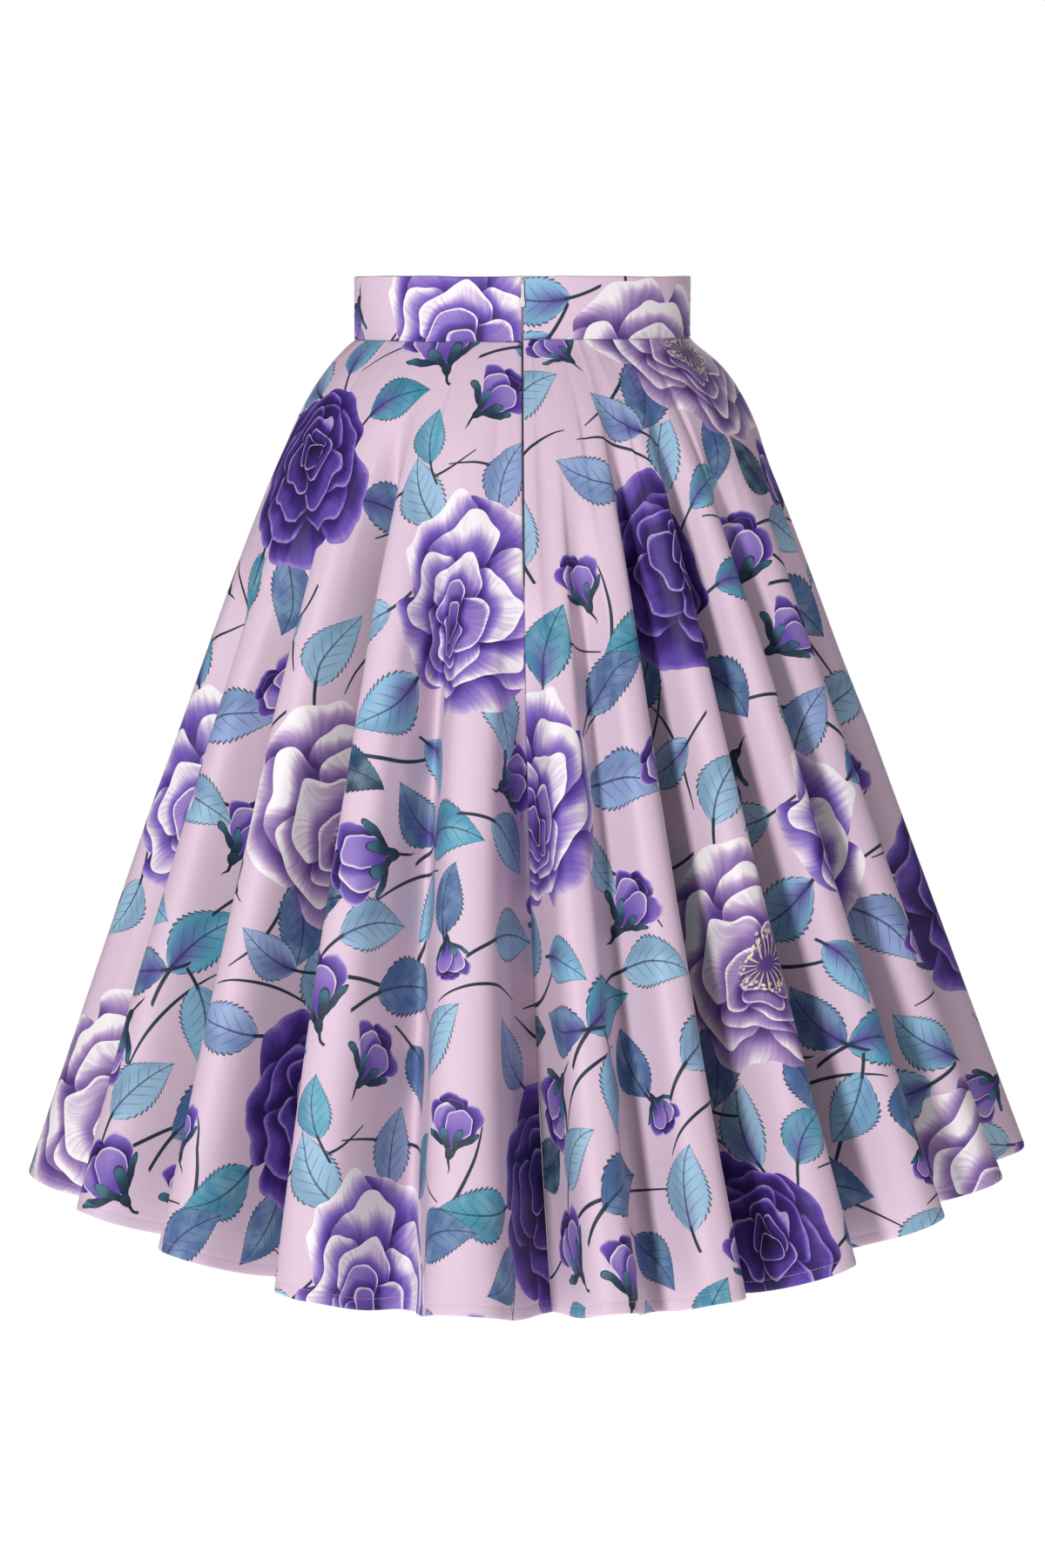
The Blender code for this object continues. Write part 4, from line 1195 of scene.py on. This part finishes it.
def from_middle(point, middle, number=0.0):
    """The step to a point from the nearest repeat of a middle, with a number in the third coordinate."""
    high = (middle[0] + REPEAT[0] / 2, middle[1] + REPEAT[1] / 2, 1.0)
    low = (middle[0] - REPEAT[0] / 2, middle[1] - REPEAT[1] / 2, -1.0)
    return vectors("SUBTRACT", vectors("WRAP", point, high, low), (*middle, -number * NUMBER_STEP))


def nearest_copy(point, copies):
    best = None
    for across, up, turn, rank in copies:
        step = from_middle(point, (across / 1000, up / 1000), rank + turn / 360.0)
        far = vectors("LENGTH", step)
        if best is None:
            best, best_far = step, far
        else:
            best = mix(is_below(far, best_far), best, step, "VECTOR")
            best_far = least(far, best_far)
    return best


takes = new_group(
    "motif_frame", "Step vector, Smallest value, Growth value", "Point vector, Rank value, Share value"
)
number = dot(takes["Step"], (0.0, 0.0, 1.0 / NUMBER_STEP))
rank, turn_share = whole(number), fraction(number)
angle = times(turn_share, math.tau)
lead, lean = maths("COSINE", angle), maths("SINE", angle)
size = times_plus(rank, takes["Growth"], takes["Smallest"])
right, up = coordinates(takes["Step"])
along = times_plus(right, lead, times(up, lean))
across = minus(times(up, lead), times(right, lean))
own = joined(over(along, size), over(across, size), times(turn_share, COPY_STEP))
motif_frame = give(Point=own, Rank=rank, Share=turn_share)

# %% The whole print
STEM_TAPER, STEM_THINNING = 0.75, 0.80  # how much a stem narrows towards its ends, and how thin its middle is
STEM_FADE, STEM_FULL = 1.45, 1.05
KIND_SPREAD = 37.0  # turns a leaf's turn into its kind


def stem_cover(point):
    """How much a stem covers a point. A stem is a shallow bow between two places, with thinner ends."""
    nearest = None
    for start, end, bow, thick in STEMS:
        start, end = np.array(start) / 1000, np.array(end) / 1000
        bow, thick = bow / 1000, thick / 1000 * STEM_THINNING
        reach = math.dist(start, end) / 2
        middle, (lead, lean) = (start + end) / 2, (end - start) / 2 / reach
        step = from_middle(point, middle)
        along = dot(step, (lead / reach, lean / reach, 0.0))
        across = dot(step, (-lean / thick, lead / thick, 0.0))
        squared = times(along, along)
        curve = times_plus(squared, bow / thick, across)
        off = times_plus(squared, STEM_TAPER, size_of(minus(curve, bow / thick)))
        past = times_plus(size_of(along), reach / thick, 1.0 - reach / thick)
        far = most(off, past)
        nearest = far if nearest is None else least(nearest, far)
    return ramp(nearest, STEM_FADE, STEM_FULL)


# motif, copies, smallest half length, growth with each rank
POOLS = (
    (leaf, FAR_LEAVES, 0.021, 0.0035), (leaf, NEAR_LEAVES, 0.020, 0.0035), (bud, BUDS, 0.023, 0.0040),
    (flower, FLOWERS, 0.072, 0.004),
)
point = new_group("floral_print", "Point vector", "Colour colour")["Point"]
colour = mix(stem_cover(point), rgb(*GROUND), STEM_COLOUR)
for motif, copies, smallest, growth in POOLS:
    own = use(motif_frame, Step=nearest_copy(point, copies), Smallest=smallest, Growth=growth)
    values = {"Point": own["Point"]}
    if motif is flower:
        values["Rank"] = own["Rank"]
    if motif is leaf:
        values["Kind"] = fraction(times(own["Share"], KIND_SPREAD))
    drawn = use(motif, **values)
    colour = mix(drawn["Cover"], colour, drawn["Colour"])
floral_print = give(Colour=colour)


def count_nodes(tree):
    return sum(count_nodes(node.node_tree) if node.type == "GROUP" else 1 for node in tree.nodes)


print("the print has", count_nodes(floral_print), "nodes in all")

# %% [markdown]
# ## Finishes
#
# Sateen is a weave with long floats: each warp thread passes over four weft threads and under one, and the
# places where it dips lie on a slant. This is why it is smooth and has a soft sheen. The zip's tape has the
# same structure in coarser threads, so both take it from one group, each with its own spacing.
#
# The group's height feeds a Bump node, and it also sets the roughness and a painted shade in the colour where
# the weave is low. The real threads are a quarter of a millimetre wide, and as geometry they would need a
# hundred million faces.

# %% Weave
FLOAT_LENGTH, FLOAT_SLANT = 5.0, 0.4  # threads in a float, and how far the next thread's float is shifted
THREAD_SHIFT = 0.618  # spreads the threads' numbers, so that neighbours differ
THREAD_ROUND, DIP = (0.0, 0.4), (0.0, 0.14, 0.35, 1.0)  # how a thread is rounded, and how its float dips

takes = new_group("weave", "Point vector, Spacing value", "Height value, Thread value")
right, up = coordinates(takes["Point"])
thread = over(right, takes["Spacing"])
float_place = over(over(up, takes["Spacing"]), FLOAT_LENGTH)
float_place = times_plus(whole(thread), FLOAT_SLANT, float_place)
height = times(ramp(zigzag(thread, 0.5), *THREAD_ROUND), ramp(zigzag(float_place, 0.5), *DIP))
weave = give(Height=height, Thread=fraction(times(whole(thread), THREAD_SHIFT)))

# %% [markdown]
# Cloth that has been folded, sewn and worn is never quite smooth. Two sizes of soft dents, in the coordinates
# of the flat cloth, break up the light on the crests.

# %% Handling
DENT_STRETCH, SMALL_DENTS, SMALL_SHARE = (1.0, 0.45, 1.0), 4.5, 0.22

takes = new_group("handled", "Point vector, Scale value", "Height value")
wide = noise(vectors("MULTIPLY", takes["Point"], DENT_STRETCH), takes["Scale"], 2.0)
small = noise(takes["Point"], times(takes["Scale"], SMALL_DENTS), 2.0)
handled = give(Height=times_plus(small, SMALL_SHARE, wide))

# %% [markdown]
# A material starts from the coordinates that its nodes read: those of the flat cloth for sateen, and the
# piece's own for thread, nylon and metal. It ends with its shader, which takes all its values at once and
# stays in the material itself.

# %% Starting and ending a material
def new_finish(name, uv_map=None):
    """Starts a material, and hands back its coordinates: in the flat cloth, or in the object."""
    global tree
    material = bpy.data.materials.new(name)
    material.use_nodes = True
    tree = material.node_tree
    place = put("UVMap", uv_map=uv_map).outputs[0] if uv_map else put("TexCoord").outputs["Object"]
    return material, vectors("ADD", place, (0.0, 0.0, 0.0))


def finish(pieces, material, **values):
    """Ends a material: its shader takes the values, and the pieces take the material."""
    shader = tree.nodes["Principled BSDF"]
    fill(shader, [(name.replace("_", " "), value) for name, value in values.items()])
    for piece in pieces:
        piece.data.materials.append(material)
    print(material.name, "has", count_nodes(tree), "nodes")


def bump(height, distance, strength=1.0):
    return put("Bump", (("Height", height), ("Distance", distance), ("Strength", strength))).outputs[0]


print("node groups to build with:", len(bpy.data.node_groups))

# %% [markdown]
# The printed side has the sheen of sateen: a broad, weak gloss and a little fuzz at grazing angles. The print
# sinks into the threads, so ink and ground share one roughness, and single threads take the dye a little more
# or less. The colour is also a little darker where the weave is low, between threads and where a float dips:
# that is painted shade.
#
# The ink goes through the cloth as a pale ghost. It shows where the hem turns up and inside the flutes. The
# reverse, too, has painted shade where its weave is low.

# %% Printed sateen and its reverse
THREAD_SPACING, DENT_SCALE, DENT_DEPTH, DENT_STRENGTH = 0.00025, 26.0, 0.0011, 0.5
# the least share of dye also sets the deepest painted shade where the weave is low
DYE_SPREAD, DYE_AND_SHADE_LEAST = 0.035, 0.955  # from thread to thread
INK_THROUGH, REVERSE_GROUND = 0.34, rgb(232, 212, 230)
cloth_pieces = (front, back_right, back_left, band_front, band_right, band_left)


def cloth_finish(name, is_reverse, rough, relief, **values):
    """rough is the roughness between threads and on them, relief the threads' height beside the dents'."""
    material, point = new_finish(name, "CutPlan")
    threads = use(weave, Point=point, Spacing=THREAD_SPACING)
    dents = use(handled, Point=point, Scale=DENT_SCALE)
    colour = use(floral_print, Point=point)["Colour"]
    if is_reverse:
        colour = mix(INK_THROUGH, REVERSE_GROUND, colour)
        # painted shade: the reverse is darker where its weave is low
        dye_and_weave_shade = ramp(threads["Height"], 0.0, 1.0, 0.90, 1.0)
    else:
        dye_and_weave_shade = times_plus(threads["Thread"], DYE_SPREAD, DYE_AND_SHADE_LEAST)
        # painted shade: darker where the weave is low, on top of each thread's own dye
        dye_and_weave_shade = times(dye_and_weave_shade, ramp(threads["Height"], 0.0, 1.0, DYE_AND_SHADE_LEAST, 1.0))
    dye_and_weave_shade_tint = put("CombineColor", enumerate((dye_and_weave_shade, dye_and_weave_shade, dye_and_weave_shade))).outputs[0]
    height = times_plus(threads["Height"], relief, dents["Height"])
    finish(
        cloth_pieces, material, Base_Color=mix(1.0, colour, dye_and_weave_shade_tint, blend_type="MULTIPLY"),
        Roughness=ramp(threads["Height"], 0.0, 1.0, *rough), Normal=bump(height, DENT_DEPTH, DENT_STRENGTH),
        Sheen_Weight=0.05, **values,
    )


cloth_finish("printed_sateen", False, (0.60, 0.47), 0.035, Specular_IOR_Level=0.30, Sheen_Roughness=0.45,
             Sheen_Tint=(0.95, 0.88, 0.97, 1.0))
cloth_finish("sateen_reverse", True, (0.80, 0.68), 0.05, Specular_IOR_Level=0.20, Sheen_Roughness=0.6)

# %% [markdown]
# The zip's tape is polyester in a coarser weave, in a dye that matches the ground. Its colour is darker where
# the weave is low: painted shade between the threads. The sewing thread is twisted from plies, so a slanted
# wave runs along it, darker in the grooves and paler on the plies' tops: painted shade and painted highlight.

# %% Zip tape and thread
TAPE_SPACING, TAPE_RELIEF, PLY_SCALE, PLY_SWAY, PLY_RELIEF = 0.00045, 0.00012, 900.0, 1.5, 0.00006

material, place = new_finish("zip_tape_weave")
upright = joined(dot(place, (1.0, 0.0, 0.0)), dot(place, (0.0, 0.0, 1.0)))
height = use(weave, Point=upright, Spacing=TAPE_SPACING)["Height"]
# painted shade: the tape's colour is darker where its weave is low
finish(
    (tape_left, tape_right), material,
    Base_Color=mix(ramp(height, 0.0, 1.0), rgb(150, 124, 158), rgb(196, 170, 200)),
    Roughness=ramp(height, 0.0, 1.0, 0.88, 0.70), Normal=bump(height, TAPE_RELIEF),
)
material, place = new_finish("sewing_thread")
plies = put("TexWave", ((0, place), (1, PLY_SCALE), (2, PLY_SWAY)), bands_direction="DIAGONAL").outputs[1]
# painted shade and highlight: the thread is darker in the grooves between plies and paler on their tops
finish(
    stitches.values(), material, Base_Color=mix(plies, rgb(176, 150, 178), rgb(232, 212, 230)),
    Roughness=ramp(plies, 0.0, 1.0, 0.75, 0.5), Normal=bump(plies, PLY_RELIEF),
)

# %% [markdown]
# The coil is dyed nylon: smooth, a little glossy, and rubbed paler where the slider runs over it. The slider
# and its pull are zinc with pale enamel. Enamel is thin on edges, so a Bevel node compares the true normal
# with a rounded one, and where they differ, the metal comes through.

# %% Nylon and enamel
EDGE_RADIUS, EDGE_BEND, PATCH_SCALE, PATCH_EDGE = 0.00025, (0.995, 0.86), 900.0, (0.40, 0.62)
RUB_SCALE, SPECKLE_SCALE, FINE_RELIEF = 700.0, 1400.0, 0.00003

takes = new_group("worn_edges", "Point vector, Radius value", "Mask value")
rounded = put("Bevel", (("Radius", takes["Radius"]),), samples=4).outputs[0]
bend = dot(rounded, put("NewGeometry").outputs["Normal"])
patchy = ramp(noise(takes["Point"], PATCH_SCALE, 3.0), *PATCH_EDGE)
worn_edges = give(Mask=times(ramp(bend, *EDGE_BEND), patchy))

material, place = new_finish("dyed_nylon")
rubbed = ramp(noise(place, RUB_SCALE, 2.0), 0.35, 0.7)
finish(
    (coil,), material, Base_Color=mix(rubbed, rgb(56, 40, 62), rgb(92, 72, 98)),
    Roughness=ramp(rubbed, 0.0, 1.0, 0.34, 0.50), Normal=bump(rubbed, FINE_RELIEF),
)
enamel, place = new_finish("pale_enamel")
mask = use(worn_edges, Point=place, Radius=EDGE_RADIUS)["Mask"]
speckle = noise(place, SPECKLE_SCALE, 2.0)
paint = mix(ramp(speckle, 0.35, 0.65), rgb(206, 196, 204), rgb(226, 216, 222))
finish(
    (pull,), enamel, Base_Color=mix(mask, paint, rgb(172, 170, 172)),
    Roughness=ramp(mask, 0.0, 1.0, 0.30, 0.42), Metallic=mask,
    Normal=bump(times_plus(speckle, 0.5, times(mask, -1.0)), FINE_RELIEF), Coat_Weight=0.35,
    Coat_Roughness=0.18,
)
for slot in frame["nodes"]["zip_slider"].material_slots:
    slot.material = enamel
print("the slider has", len(frame["nodes"]["zip_slider"].material_slots), "material slots")

# %% [markdown]
# ## Joining the looks to the model
#
# Each piece rides on a body of the imported model and stands for the solids that it replaces.

# %% Bodies and solids
dressing = (
    (front, "skirt_front", "sateen"), (back_right, "skirt_back_right", "sateen"),
    (back_left, "skirt_back_left", "sateen"), (band_front, "waistband_front", "sateen"),
    (band_right, "waistband_back_right", "sateen"), (band_left, "waistband_back_left", "sateen"),
    (tape_right, "zip_tape_right", "zip_tape"), (tape_left, "zip_tape_left", "zip_tape"),
    (coil, "zip_chain", "zip_chain"), (pull, "zip_pull", "zip_metal"),
)
for piece, node, slot in dressing:
    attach(piece, "pull_tab" if node == "zip_pull" else "skirt")
    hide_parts(node)
for seam in stitches.values():
    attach(seam, "skirt")
print(len(dressing), "pieces stand for solids,", len(stitches), "rows of stitches are added")
